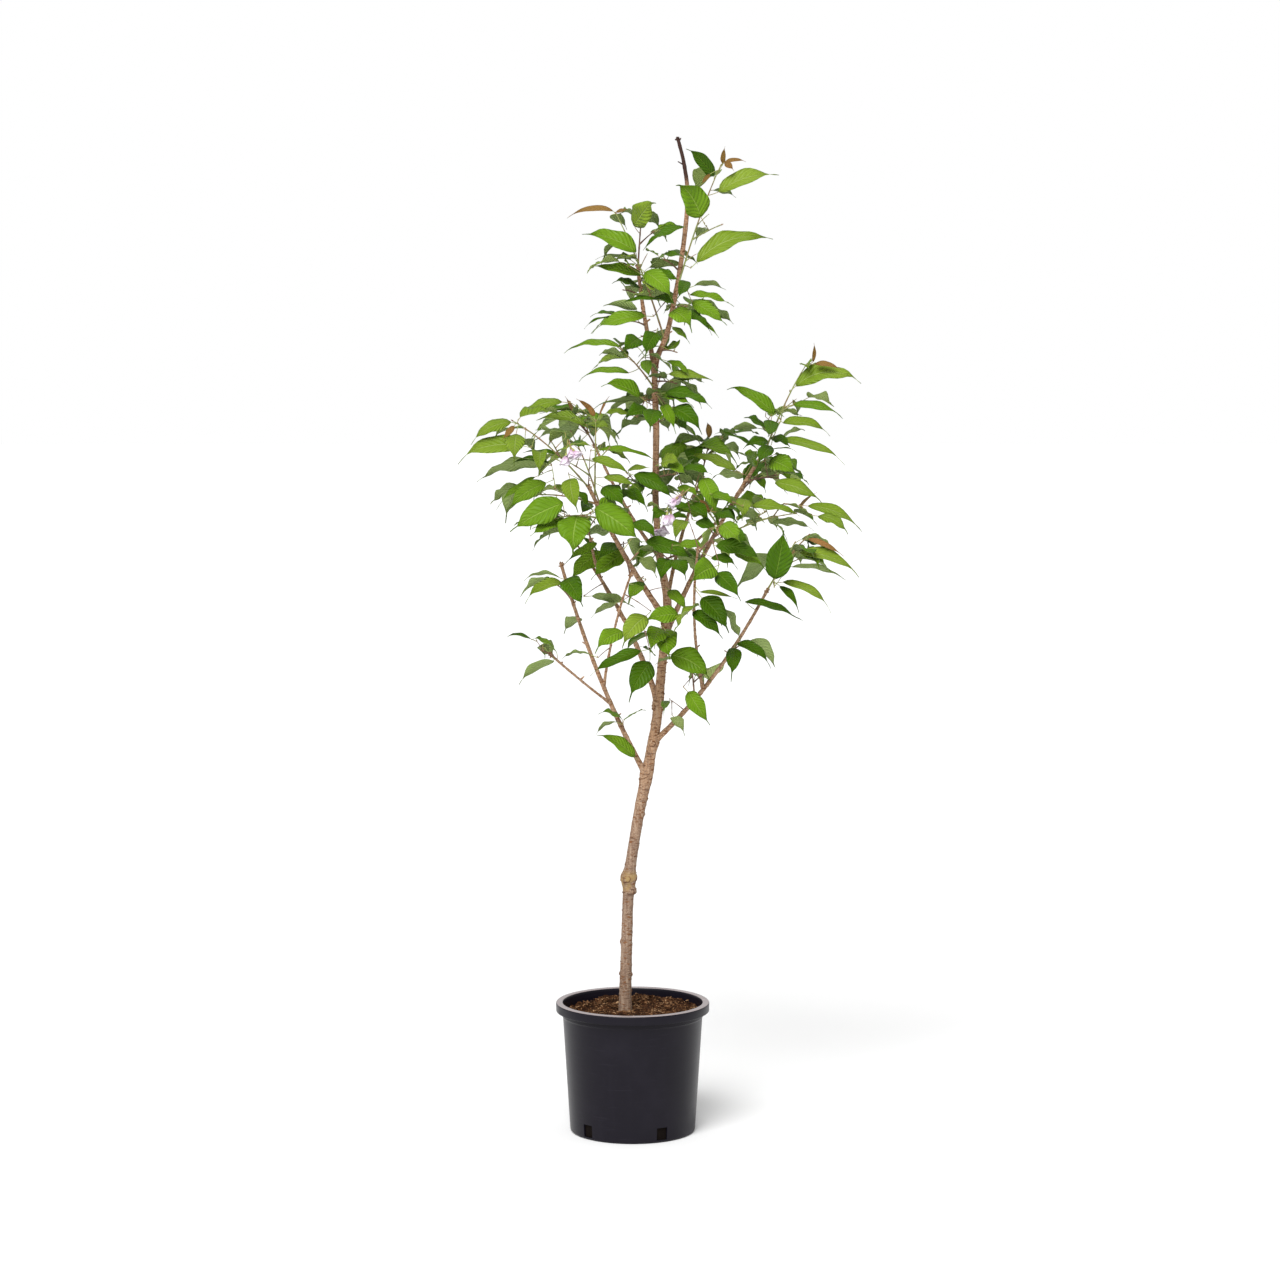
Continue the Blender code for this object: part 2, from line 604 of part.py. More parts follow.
def leaf_shell(leaf, margin=0.0, stalk=True):
    """Vertices and faces of one leaf: stalk, folded blade and drooping tip."""
    verts = []
    faces = [(0, 2, 1)]
    thickness = max(leaf.length * LEAF_THICKNESS_SHARE, LEAF_LEAST_THICKNESS) / 2.0 + margin
    forward, side, _ = leaf_axes(leaf, 0.0)
    stalk_way = (leaf.neck - leaf.foot).normalized()
    bases = [(leaf.neck, (stalk_way + forward).normalized(), STALK_WIDTH)]
    if stalk:
        bases.insert(0, (leaf.foot, stalk_way, STALK_FOOT_WIDTH))
        for k in range(3):
            after = (k + 1) % 3
            faces.extend(((k, after, 3 + after), (k, 3 + after, 3 + k)))
    for base, way, width in bases:
        radius = width / 2.0 + margin
        level = (side - way * side.dot(way)).normalized()
        over = level.cross(way)
        for corner in (150.0, 30.0, -90.0):
            turn = math.radians(corner)
            verts.append(base + (level * math.cos(turn) + over * math.sin(turn)) * radius)
    neck = len(verts) - 3
    stations = YOUNG_STATIONS if leaf.kind == "young" else LEAF_STATIONS
    lines = leaf_line(leaf, [*(share for share, _ in stations), 1.0])
    for (point, across, over), (_, fullness) in zip(lines, stations):
        half = leaf.width * fullness / 2.0 + margin
        lift = over * (half * math.sin(leaf.fold))
        reach = across * (half * math.cos(leaf.fold))
        verts.extend((point - reach + lift, point + over * thickness, point + reach + lift))
        verts.append(point - over * thickness)
    verts.append(lines[-1][0])
    left, top, right, under = neck + 3, neck + 4, neck + 5, neck + 6
    faces.extend(((neck, neck + 1, top), (neck, top, left), (neck + 1, right, top)))
    faces.extend(((neck, left, under), (neck, under, neck + 2)))
    faces.extend(((neck + 1, neck + 2, under), (neck + 1, under, right)))
    for _ in stations[1:]:
        for edge in (left, right):
            for middle in (top, under):
                faces.extend(((edge, middle, middle + 4), (edge, middle + 4, edge + 4)))
        left, top, right, under = left + 4, top + 4, right + 4, under + 4
    tip = len(verts) - 1
    faces.extend((tip - 4 + k, tip - 4 + (k + 1) % 4, tip) for k in range(4))
    return verts, faces


def shell_tree(verts, faces):
    """A search tree over a shell's faces."""
    return BVHTree.FromPolygons([tuple(v) for v in verts], faces)


def object_tree(item):
    """A search tree over an object's faces."""
    verts = [tuple(vertex.co) for vertex in item.data.vertices]
    return BVHTree.FromPolygons(verts, [tuple(face.vertices) for face in item.data.polygons])


def tube_shell(points, radii, sides, margin):
    """Vertices and faces of a tube grown by a margin."""
    bm = bmesh.new()
    tube(bm, points, [radius + margin for radius in radii], sides)
    bm.verts.index_update()
    verts = [vertex.co.copy() for vertex in bm.verts]
    faces = [tuple(vertex.index for vertex in face.verts) for face in bm.faces]
    bm.free()
    return verts, faces


def clashes(tree, others):
    """Whether a shell meets any of the others."""
    return any(tree.overlap(other) for other in others)


def grow_stem(start, reach, width, tip_width, sag):
    """A stem's centre line and radii, lifted along its middle."""
    bow = Vector((0.0, 0.0, sag)) * reach.length
    count = max(3, 1 + math.ceil(reach.length / STEM_SEGMENT))
    points = bowed_line(start, start + reach, bow, count)
    radii = [(width + (tip_width - width) * k / (count - 1)) / 2.0 for k in range(count)]
    return Stem(points, radii)


def along(stem, share):
    """Point and direction at a share of a stem's line."""
    place = share * (len(stem.points) - 1)
    k = min(int(place), len(stem.points) - 2)
    a, b = stem.points[k], stem.points[k + 1]
    return a.lerp(b, place - k), (b - a).normalized()


def side_twigs(row, stem, rng):
    """Twigs that leave the stem on alternate sides."""
    twigs = []
    length = max(Vector(row.reach).length * TWIG_SHARE, TWIG_LEAST)
    for k in range(row.twigs):
        place = TWIG_FIRST + TWIG_SPREAD * k / max(row.twigs - 1, 1) * rng.uniform(*TWIG_SPACING)
        point, direction = along(stem, place)
        across, other = ring_axes(direction)
        angle = math.pi * k + rng.uniform(-TWIG_TURN, TWIG_TURN)
        away = across * math.cos(angle) + other * math.sin(angle) * TWIG_FLATNESS
        way = direction * TWIG_FORWARD + away * TWIG_AWAY + Vector((0.0, 0.0, TWIG_RISE))
        twigs.append(grow_stem(point, way.normalized() * length, TWIG_WIDTH, TWIG_TIP_WIDTH, TWIG_SAG))
    return twigs


def leaf_places(row, stems, rng):
    """Which stem, and how far along it, each leaf leaves from."""
    places = []
    rosette = Vector(row.reach).length < ROSETTE_LENGTH
    for k in range(row.leaves):
        which = k % len(stems)
        first = ROSETTE_FIRST if rosette else (STEM_FIRST if which == 0 else TWIG_LEAF_FIRST)
        rank = k // len(stems)
        ranks = math.ceil(row.leaves / len(stems))
        share = first + (LEAF_LAST - first) * (rank + rng.uniform(*PLACE_PLAY)) / ranks
        places.append((which, share, "grown"))
    places.extend((0, YOUNG_PLACE, "young") for _ in range(row.young))
    return places


def outward_angle(row):
    """Direction, seen from above, from the trunk to the spray."""
    return math.atan2(row.reach[1], row.reach[0])


def propose_leaf(row, stems, place, turn, rng):
    """One leaf at its place, with seeded size, slope and twist."""
    which, share, kind = place
    stem = stems[which]
    foot, direction = along(stem, share)
    young = kind == "young"
    outward = outward_angle(row)
    lean = LEAN if Vector(row.reach).length > ROSETTE_LENGTH else ROSETTE_LEAN
    east = math.cos(turn) + lean * math.cos(outward)
    north = math.sin(turn) + lean * math.sin(outward)
    heading = math.atan2(north, east)
    low, high = YOUNG_PITCH_DEG if young else row.pitch
    pitch = math.radians(rng.uniform(low, high))
    droop = math.radians(rng.uniform(*(YOUNG_DROOP_DEG if young else DROOP_DEG)))
    length = row.leaf * rng.uniform(*LENGTH_PLAY) * (YOUNG_SHARE if young else 1.0)
    width = length * LEAF_WIDTH_SHARE * rng.uniform(*WIDTH_PLAY) * (YOUNG_WIDTH_SHARE if young else 1.0)
    level = Vector((math.cos(heading), math.sin(heading), 0.0))
    rise = Vector((0.0, 0.0, YOUNG_STALK_RISE if young else STALK_RISE))
    stalk = (direction * STALK_FORWARD + level * STALK_AWAY + rise).normalized()
    neck = foot + stalk * rng.uniform(*STALK_LENGTH) * (YOUNG_STALK_SHARE if young else 1.0)
    sweep = math.radians(rng.uniform(-SWEEP_DEG, SWEEP_DEG))
    roll = math.radians(rng.uniform(-ROLL_DEG, ROLL_DEG))
    fold = math.radians(rng.uniform(*FOLD_DEG))
    return Leaf(foot, neck, heading, pitch, droop, sweep, roll, fold, length, width, kind)


def grow_leaves(row, stems, stalks, rng, taken):
    """Leaves dealt out along the stems; one that finds no free room is skipped."""
    lines = [*stems, *stalks]
    stem_trees = [shell_tree(*tube_shell(line.points, line.radii, STEM_SIDES, OWN_MARGIN)) for line in lines]
    stem_trees.extend(shell_tree(*blossom_shell(stalk.points[-1])) for stalk in stalks)
    leaves = []
    blades = []
    wholes = []
    turn = rng.uniform(0.0, 2.0 * math.pi)
    for place in leaf_places(row, stems, rng):
        turn += math.radians(PHYLLOTAXY_DEG)
        for attempt in range(LEAF_TRIES):
            shift = rng.uniform(-LEAF_SHIFT, LEAF_SHIFT) * (1 + attempt)
            leaf = propose_leaf(row, stems, place, turn + shift, rng)
            whole = shell_tree(*leaf_shell(leaf, LEAF_MARGIN))
            blade = shell_tree(*leaf_shell(leaf, OWN_MARGIN, stalk=False))
            if clashes(whole, taken) or clashes(blade, stem_trees):
                continue
            if clashes(whole, blades) or clashes(blade, wholes):
                continue
            leaves.append(leaf)
            blades.append(blade)
            wholes.append(whole)
            break
    return leaves


def blossom_shell(crown):
    """Vertices and faces of one hanging blossom: a five-lobed bell with a thick wall."""
    verts = [crown + Vector((0.0, 0.0, BLOSSOM_WALL / 2.0)), crown - Vector((0.0, 0.0, BLOSSOM_WALL / 2.0))]
    faces = []
    for k in range(2 * PETALS):
        angle = math.pi * k / PETALS
        radius, drop = (BLOSSOM_RADIUS, BLOSSOM_DROP) if k % 2 == 0 else (BLOSSOM_WAIST, BLOSSOM_DROP / 2.0)
        verts.append(crown + Vector((radius * math.cos(angle), radius * math.sin(angle), -drop)))
        after = 2 + (k + 1) % (2 * PETALS)
        faces.extend(((0, 2 + k, after), (1, after, 2 + k)))
    return verts, faces


def grow_blossoms(row, stem, rng, taken):
    """Stalk of each hanging blossom, which opens at the stalk's end; one without free room is skipped."""
    stalks = []
    for k in range(row.blossoms):
        top, _ = along(stem, BLOSSOM_FIRST + BLOSSOM_STEP * k)
        swing = Vector((rng.uniform(-PEDICEL_SWING, PEDICEL_SWING), -PEDICEL_LEAN, -1.0)).normalized()
        crown = top + swing * PEDICEL_DROP * rng.uniform(*PEDICEL_PLAY)
        if not clashes(shell_tree(*blossom_shell(crown)), taken):
            stalks.append(Stem([top, (top + crown) * 0.5, crown], [PEDICEL_WIDTH / 2.0] * 3))
    return stalks


def shell_object(name, verts, faces, group):
    """A closed shell as an object of a collection."""
    bm = bmesh.new()
    made = [bm.verts.new(v) for v in verts]
    for face in faces:
        bm.faces.new([made[k] for k in face])
    item = bpy.data.objects.new(name, mesh_from(name, bm))
    group.objects.link(item)
    return item


def is_closed(mesh):
    """Whether every edge of a mesh has exactly two faces."""
    bm = bmesh.new()
    bm.from_mesh(mesh)
    closed = all(edge.is_manifold for edge in bm.edges)
    bm.free()
    return closed


def fuse(item, shells, solver):
    """Fuse closed shells onto an object by one Boolean on a collection, and tell whether it closed."""
    group = bpy.data.collections.new("fuse")
    bpy.context.scene.collection.children.link(group)
    for verts, faces in shells:
        shell_object("shell", verts, faces, group)
    apply_boolean(item, "UNION", group=group, solver=solver)
    for shell in list(group.objects):
        remove_object(shell)
    bpy.data.collections.remove(group)
    keep_main_piece(item)
    return is_closed(item.data)


def join_spray(row, limb, stems, stalks, leaves, material):
    """Fuse a spray's stem, twigs, leaves and blossoms into one body, with fewer leaves if it won't close."""
    main = stems[0]
    solid = tube_object(row.name, main.points, main.radii, STEM_SIDES, material)
    apply_boolean(solid, "DIFFERENCE", limb.swollen)
    keep_main_piece(solid)
    bare = solid.data.copy()
    while True:
        shells = [tube_shell(stem.points, stem.radii, STEM_SIDES, 0.0) for stem in [*stems[1:], *stalks]]
        shells.extend(leaf_shell(leaf) for leaf in leaves)
        shells.extend(blossom_shell(stalk.points[-1]) for stalk in stalks)
        for solver in ("EXACT", "MANIFOLD"):
            solid.data = bare.copy()
            if fuse(solid, shells, solver):
                solid.data.materials.clear()
                solid.data.materials.append(material)
                return solid
        print(row.name, "did not close with", len(leaves), "leaves")
        leaves = leaves[:-1]


def main_stem(row, limbs):
    """The one stem that carries a spray, rooted in the middle of its limb."""
    start = at_height(limbs[row.parent], row.height)
    return grow_stem(start, Vector(row.reach), STEM_WIDTH, STEM_TIP_WIDTH, STEM_SAG)


def grown_tree(stem):
    """A search tree over a stem grown by the leaf margin."""
    return shell_tree(*tube_shell(stem.points, stem.radii, STEM_SIDES, LEAF_MARGIN))


def grow_spray(index, row, stem, limb, taken, material):
    """Grow one spray on its stem in the room that everything else leaves free."""
    rng = random.Random(SPRAY_SEED + index)
    twigs = side_twigs(row, stem, rng)
    stems = [stem, *(twig for twig in twigs if not clashes(grown_tree(twig), taken))]
    stalks = grow_blossoms(row, stem, rng, taken)
    leaves = grow_leaves(row, stems, stalks, rng, taken)
    solid = join_spray(row, limb, stems, stalks, leaves, material)
    print(row.name, "leaves", len(leaves), "of", row.leaves + row.young, "triangles", len(solid.data.polygons))
    return solid


def build_tree(bark, green):
    """Trunk, boughs and every spray of foliage."""
    limbs = {"trunk": build_trunk(bark)}
    for row in BOUGHS:
        limbs[row.name] = build_bough(row, limbs, bark)
    taken = [object_tree(limb.solid) for limb in limbs.values()]
    stems = [main_stem(row, limbs) for row in SPRAYS]
    stem_trees = [grown_tree(stem) for stem in stems]
    for index, row in enumerate(SPRAYS):
        room = [*taken, *stem_trees[index + 1 :]]
        solid = grow_spray(index, row, stems[index], limbs[row.parent], room, green)
        taken.append(object_tree(solid))
    for limb in limbs.values():
        remove_object(limb.swollen)


def main():
    """Build every sub-part."""
    clear_scene()
    build_pot(pot_plastic())
    build_soil(bark_coir())
    build_tree(cherry_bark(), leaf_green())


main()
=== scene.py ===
"""Looks of a young potted cherry tree: bark, leaves, blossom, pot and coir in soft studio light."""

from __future__ import annotations

import json
import logging
import math
import random
from collections.abc import Callable, Iterable, Sequence
from dataclasses import dataclass, field
from enum import Enum

import bmesh
import bpy
from mathutils import Matrix, Vector, geometry, noise
from mathutils.bvhtree import BVHTree
from mathutils.kdtree import KDTree

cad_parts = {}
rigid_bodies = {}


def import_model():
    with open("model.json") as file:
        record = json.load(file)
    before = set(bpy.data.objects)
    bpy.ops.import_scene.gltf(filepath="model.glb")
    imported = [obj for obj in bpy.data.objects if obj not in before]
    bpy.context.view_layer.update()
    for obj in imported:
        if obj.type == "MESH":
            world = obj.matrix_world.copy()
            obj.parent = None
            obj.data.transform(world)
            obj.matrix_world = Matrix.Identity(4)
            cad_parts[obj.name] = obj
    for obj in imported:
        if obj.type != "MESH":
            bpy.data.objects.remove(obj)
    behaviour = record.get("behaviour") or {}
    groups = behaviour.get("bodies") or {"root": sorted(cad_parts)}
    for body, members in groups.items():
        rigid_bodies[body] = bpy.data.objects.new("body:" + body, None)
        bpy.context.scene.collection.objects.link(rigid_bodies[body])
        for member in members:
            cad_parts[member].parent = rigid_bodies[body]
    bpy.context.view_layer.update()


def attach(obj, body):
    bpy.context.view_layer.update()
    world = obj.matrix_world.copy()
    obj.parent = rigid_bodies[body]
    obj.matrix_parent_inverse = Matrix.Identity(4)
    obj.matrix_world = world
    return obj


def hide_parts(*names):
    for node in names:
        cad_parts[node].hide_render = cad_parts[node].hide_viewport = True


LOG = logging.getLogger("cherry_tree")
UP = Vector((0.0, 0.0, 1.0))
GOLDEN_TURN = math.radians(137.5)

Shell = tuple[list[Vector], list[tuple[int, ...]]]
Range = tuple[float, float]
Colour = tuple[float, float, float]

# Lowest and highest slope of a spray's leaves, in degrees
LEVEL = (-22.0, 30.0)
LOOSE = (-46.0, 12.0)
HANGING = (-60.0, -8.0)


class Tone(Enum):
    """A leaf's tone."""

    FRESH = "fresh"
    MID = "mid"
    DEEP = "deep"
    BRONZE = "bronze"


class LeafKind(Enum):
    """How old a leaf is."""

    GROWN = "grown"
    YOUNG = "young"
    SMALL = "small"


@dataclass(frozen=True)
class Bough:
    """A bough's named sizes: its limb, the height of its foot, its tip, its middle's bow, and its widths."""

    name: str
    parent: str
    height: float
    tip: tuple[float, float, float]
    bow: tuple[float, float, float]
    foot_width: float
    tip_width: float


@dataclass(frozen=True)
class Spray:
    """A spray's named sizes: its limb, stem, side twigs, leaves, young leaves, blossoms and leaf slopes."""

    name: str
    parent: str
    height: float
    reach: tuple[float, float, float]
    twigs: int
    leaves: int
    leaf: float
    young: int = 0
    blossoms: int = 0
    pitch: Range = LEVEL

    @property
    def node(self) -> str:
        """The plain solid that it stands for."""
        return f"foliage_{self.name}"


# Height, x, y and diameter of each station of the trunk, from the coir up to the cut tip
TRUNK_LINE = (
    (0.2803, -0.017, 0.000, 0.0330),
    (0.320, -0.017, 0.000, 0.0290),
    (0.470, -0.013, 0.003, 0.0262),
    (0.560, -0.010, 0.004, 0.0268),
    (0.589, -0.009, 0.004, 0.0355),
    (0.618, -0.005, 0.004, 0.0268),
    (0.690, 0.006, 0.003, 0.0255),
    (0.765, 0.019, 0.001, 0.0260),
    (0.830, 0.033, 0.000, 0.0285),
    (0.882, 0.042, -0.001, 0.0250),
    (0.977, 0.058, -0.002, 0.0232),
    (1.068, 0.066, 0.000, 0.0215),
    (1.183, 0.077, 0.003, 0.0198),
    (1.240, 0.079, 0.004, 0.0192),
    (1.332, 0.064, 0.004, 0.0165),
    (1.460, 0.053, 0.002, 0.0150),
    (1.626, 0.054, 0.000, 0.0150),
    (1.768, 0.052, -0.001, 0.0138),
    (1.850, 0.080, -0.003, 0.0122),
    (1.991, 0.108, -0.002, 0.0115),
    (2.139, 0.125, 0.002, 0.0108),
    (2.222, 0.118, 0.003, 0.0092),
    (2.288, 0.102, 0.004, 0.0084),
)
BOUGHS = (
    Bough("leader_left", "trunk", 1.765, (0.012, 0.03, 2.0), (-0.004, 0, -0.004), 0.012, 0.0072),
    Bough("bough_left_low", "trunk", 0.828, (-0.162, -0.1, 1.327), (-0.01, 0, -0.016), 0.0135, 0.007),
    Bough(
        "bough_left_side", "bough_left_low", 1.0, (-0.185, -0.16, 1.125), (0.004, 0, -0.006), 0.0062, 0.005
    ),
    Bough(
        "bough_left_front", "bough_left_low", 1.04, (-0.002, -0.2, 1.31), (-0.006, 0, 0.006), 0.0062, 0.0048
    ),
    Bough("bough_left_mid", "trunk", 0.995, (-0.123, 0.12, 1.345), (0.014, 0.0, 0.012), 0.0145, 0.0062),
    Bough(
        "bough_left_fork", "bough_left_mid", 1.222, (-0.096, 0.05, 1.372), (-0.01, 0, -0.004), 0.0072, 0.0058
    ),
    Bough("bough_left_high", "trunk", 1.19, (-0.1, -0.08, 1.5), (-0.006, 0, -0.006), 0.0148, 0.008),
    Bough("bough_right_low", "trunk", 0.905, (0.306, -0.12, 1.27), (0.01, 0, -0.02), 0.0132, 0.0062),
    Bough(
        "bough_right_front", "bough_right_low", 1.035,
        (0.146, -0.22, 1.367), (-0.014, 0, -0.004), 0.007, 0.005,
    ),
    Bough("bough_right_high", "trunk", 1.15, (0.314, 0.12, 1.585), (-0.014, 0, -0.002), 0.013, 0.008),
    Bough("bough_back_mid", "trunk", 1.216, (0.165, 0.2, 1.52), (-0.014, -0.012, -0.012), 0.0105, 0.0062),
    Bough("bough_back_left", "trunk", 1.33, (-0.09, 0.24, 1.585), (-0.004, 0.004, -0.012), 0.0098, 0.006),
    Bough(
        "bough_back_right", "bough_back_mid", 1.33, (0.262, 0.29, 1.48), (0.006, 0.01, -0.008), 0.0066, 0.0052
    ),
)
SPRAYS = (
    Spray("top_right", "trunk", 1.915, (0.106, -0.03, 0.306), 1, 8, 0.15, 3),
    Spray("top_left", "trunk", 1.83, (-0.11, -0.055, 0.282), 1, 7, 0.125, 3),
    Spray("leader_tip", "leader_left", 1.997, (0.008, 0.012, 0.112), 1, 6, 0.105, 2),
    Spray("leader_high", "leader_left", 1.93, (-0.04, 0.016, 0.014), 0, 6, 0.112),
    Spray("leader_low", "leader_left", 1.862, (-0.034, -0.02, 0.01), 0, 6, 0.112),
    Spray("leader_mid", "trunk", 1.985, (-0.034, -0.01, 0.026), 0, 6, 0.105),
    Spray("leader_side", "trunk", 1.895, (0.034, 0.018, 0.012), 0, 6, 0.112),
    Spray("fork", "trunk", 1.806, (0.034, -0.022, -0.004), 0, 6, 0.1),
    Spray("mid_shoot", "trunk", 1.715, (-0.086, -0.045, 0.098), 0, 5, 0.1),
    Spray("mid_left", "trunk", 1.69, (-0.036, -0.014, 0.004), 0, 7, 0.108),
    Spray("mid_right", "trunk", 1.735, (0.046, -0.018, -0.004), 0, 7, 0.105),
    Spray("mid_back", "trunk", 1.64, (0.006, 0.04, 0.002), 0, 6, 0.1),
    Spray("centre_left", "trunk", 1.49, (-0.04, 0.014, 0.006), 0, 7, 0.112),
    Spray("centre_right", "trunk", 1.515, (0.044, -0.01, 0.008), 0, 7, 0.112),
    Spray("centre_front", "trunk", 1.425, (0.022, -0.062, 0.012), 0, 8, 0.112, 0, 2),
    Spray("centre_low", "trunk", 1.32, (0.034, -0.07, 0.02), 1, 10, 0.11, 0, 0, LOOSE),
    Spray("back_mid", "bough_back_mid", 1.512, (0.02, 0.05, 0.08), 2, 8, 0.112, 1),
    Spray("back_left", "bough_back_left", 1.577, (-0.05, 0.04, 0.076), 2, 8, 0.115, 1),
    Spray("back_right", "bough_back_right", 1.474, (0.06, 0.03, 0.05), 2, 8, 0.112, 1),
    Spray("left_edge", "bough_left_high", 1.458, (-0.166, -0.03, 0.02), 2, 10, 0.132, 0, 1),
    Spray("left_outer", "bough_left_high", 1.492, (-0.172, -0.07, 0.156), 1, 8, 0.146, 2),
    Spray("left_shoot", "bough_left_high", 1.47, (0.002, 0.05, 0.176), 1, 6, 0.112, 2),
    Spray("left_back", "bough_left_high", 1.43, (-0.076, 0.13, 0.19), 1, 6, 0.112, 2),
    Spray("left_front", "bough_left_high", 1.42, (-0.11, -0.11, 0.01), 2, 10, 0.128, 0, 0, LOOSE),
    Spray("left_mid", "bough_left_mid", 1.338, (-0.05, 0.03, 0.06), 1, 7, 0.115),
    Spray("left_fork", "bough_left_fork", 1.366, (-0.02, -0.01, 0.062), 1, 7, 0.112),
    Spray("left_low", "bough_left_low", 1.24, (-0.034, 0.014, 0.034), 0, 6, 0.092),
    Spray("left_side", "bough_left_side", 1.121, (-0.022, -0.014, 0.012), 0, 5, 0.09),
    Spray("left_foot", "bough_left_low", 0.93, (-0.004, -0.03, 0.024), 0, 5, 0.088),
    Spray("front_left", "bough_left_front", 1.303, (-0.016, -0.06, 0.06), 1, 8, 0.112, 0, 0, HANGING),
    Spray("front_low", "trunk", 1.13, (-0.044, -0.08, 0.04), 1, 9, 0.108, 0, 0, LOOSE),
    Spray("front_foot", "bough_right_low", 1.01, (-0.01, -0.07, 0.09), 1, 7, 0.108, 0, 0, LOOSE),
    Spray("front_right", "bough_right_front", 1.352, (0.05, -0.066, 0.052), 2, 9, 0.118, 0, 0, HANGING),
    Spray("front_mid", "bough_right_front", 1.2, (0.026, -0.044, 0.034), 0, 7, 0.112, 0, 0, LOOSE),
    Spray("right_shoot", "bough_right_high", 1.578, (0.092, -0.02, 0.196), 1, 9, 0.124, 3),
    Spray("right_inner", "bough_right_high", 1.4, (-0.064, -0.084, 0.07), 2, 10, 0.118),
    Spray("right_mid", "bough_right_high", 1.5, (0.074, -0.08, 0.014), 1, 9, 0.118),
    Spray("right_edge", "bough_right_high", 1.36, (0.196, -0.06, 0.074), 2, 11, 0.12, 1),
    Spray("right_low", "bough_right_low", 1.262, (0.094, -0.026, 0.13), 1, 10, 0.126, 2),
    Spray("right_knob", "bough_right_low", 1.12, (0.03, -0.02, 0.022), 0, 6, 0.098, 0, 0, HANGING),
)


def directions_across(direction: Vector) -> tuple[Vector, Vector]:
    """Find two directions across a given one.

    Args:
        direction: A unit vector.

    Returns:
        Two unit vectors square to it and to each other.
    """
    helper = UP if abs(direction.z) < 0.9 else Vector((0.0, 1.0, 0.0))
    across = helper.cross(direction).normalized()
    return across, direction.cross(across).normalized()


def carried_frames(points: Sequence[Vector]) -> list[tuple[Vector, Vector]]:
    """Carry two cross directions along a line without twist.

    Args:
        points: The line's points.

    Returns:
        The two directions at each point.
    """
    frames = []
    across = None
    for k in range(len(points)):
        direction = (points[min(k + 1, len(points) - 1)] - points[max(k - 1, 0)]).normalized()
        if across is None:
            across, _ = directions_across(direction)
        across = (across - direction * across.dot(direction)).normalized()
        frames.append((across, direction.cross(across)))
    return frames


def bowed_line(start: Vector, end: Vector, bow: Vector, count: int) -> list[Vector]:
    """Draw a line whose middle is moved by a bow.

    Args:
        start: First point.
        end: Last point.
        bow: How far the middle moves.
        count: Number of points.

    Returns:
        The line's points.
    """
    middle = (start + end) * 0.5 + bow * 2.0
    shares = [k / (count - 1) for k in range(count)]
    return [start * (1.0 - t) ** 2 + middle * (2.0 * t * (1.0 - t)) + end * t**2 for t in shares]


def tube_shell(points: Sequence[Vector], radii: Sequence[float], sides: int) -> Shell:
    """Wrap a line in a plain tube, for clash tests.

    Args:
        points: The line's points.
        radii: The tube's radius at each point.
        sides: Number of sides.

    Returns:
        The tube's vertices and faces.
    """
    verts = []
    faces = []
    for point, radius, (across, other) in zip(points, radii, carried_frames(points)):
        for side in range(sides):
            angle = math.tau * side / sides
            verts.append(point + (across * math.cos(angle) + other * math.sin(angle)) * radius)
    for ring in range(len(points) - 1):
        low = ring * sides
        for side in range(sides):
            after = (side + 1) % sides
            faces.append((low + side, low + after, low + sides + after, low + sides + side))
    faces.append(tuple(range(sides)))
    faces.append(tuple(range(len(verts) - sides, len(verts))))
    return verts, faces


def shell_tree(shell: Shell) -> BVHTree:
    """Make a search tree over a shell's faces."""
    return BVHTree.FromPolygons([tuple(vertex) for vertex in shell[0]], shell[1])


def clashes(tree: BVHTree, others: Iterable[BVHTree]) -> bool:
    """Tell whether a shell meets any of the others."""
    return any(tree.overlap(other) for other in others)


@dataclass(frozen=True)
class Limb:
    """The trunk or a bough: its centre line and radii."""

    name: str
    points: list[Vector]
    radii: list[float]

    def at_height(self, height: float) -> Vector:
        """Find the centre line's point at a height.

        Args:
            height: Height above the floor.

        Returns:
            The point, or the tip where the limb ends lower.
        """
        for a, b in zip(self.points, self.points[1:]):
            if a.z <= height <= b.z:
                return a.lerp(b, (height - a.z) / (b.z - a.z))
        return self.points[-1].copy()


@dataclass(frozen=True)
class Stem:
    """A spray's stem, a side twig or a blossom's stalk."""

    points: list[Vector]
    radii: list[float]

    def along(self, share: float) -> tuple[Vector, Vector]:
        """Find a place along the stem.

        Args:
            share: Share of the stem's points passed.

        Returns:
            The point there, and the stem's direction.
        """
        place = share * (len(self.points) - 1)
        k = min(int(place), len(self.points) - 2)
        a, b = self.points[k], self.points[k + 1]
        return a.lerp(b, place - k), (b - a).normalized()

    def nearest(self, place: Vector) -> Vector:
        """Find the point of the stem that is nearest to a place."""
        found = []
        for a, b in zip(self.points, self.points[1:]):
            _, share = geometry.intersect_point_line(place, a, b)
            found.append(a.lerp(b, min(max(share, 0.0), 1.0)))
        return min(found, key=lambda point: (point - place).length)

    def cut_back(self, feet: Sequence[Vector], way: float) -> Stem | None:
        """Cut it back to the last foot of a leaf or twig that is on it.

        Args:
            feet: The feet.
            way: How near a foot counts as on it.

        Returns:
            What is left, or nothing where it bears none.
        """
        shares = [k / 20.0 for k in range(1, 21)]
        places = [(share, self.along(share)[0]) for share in shares]
        borne = [share for share, place in places if any((place - foot).length < way for foot in feet)]
        if not borne:
            return None
        steps = len(self.points) - 1
        return Stem([self.along(borne[-1] * k / steps)[0] for k in range(steps + 1)], self.radii)

    def tree(self, sides: int, margin: float) -> BVHTree:
        """Make a search tree over the stem, grown by a margin."""
        return shell_tree(tube_shell(self.points, [radius + margin for radius in self.radii], sides))


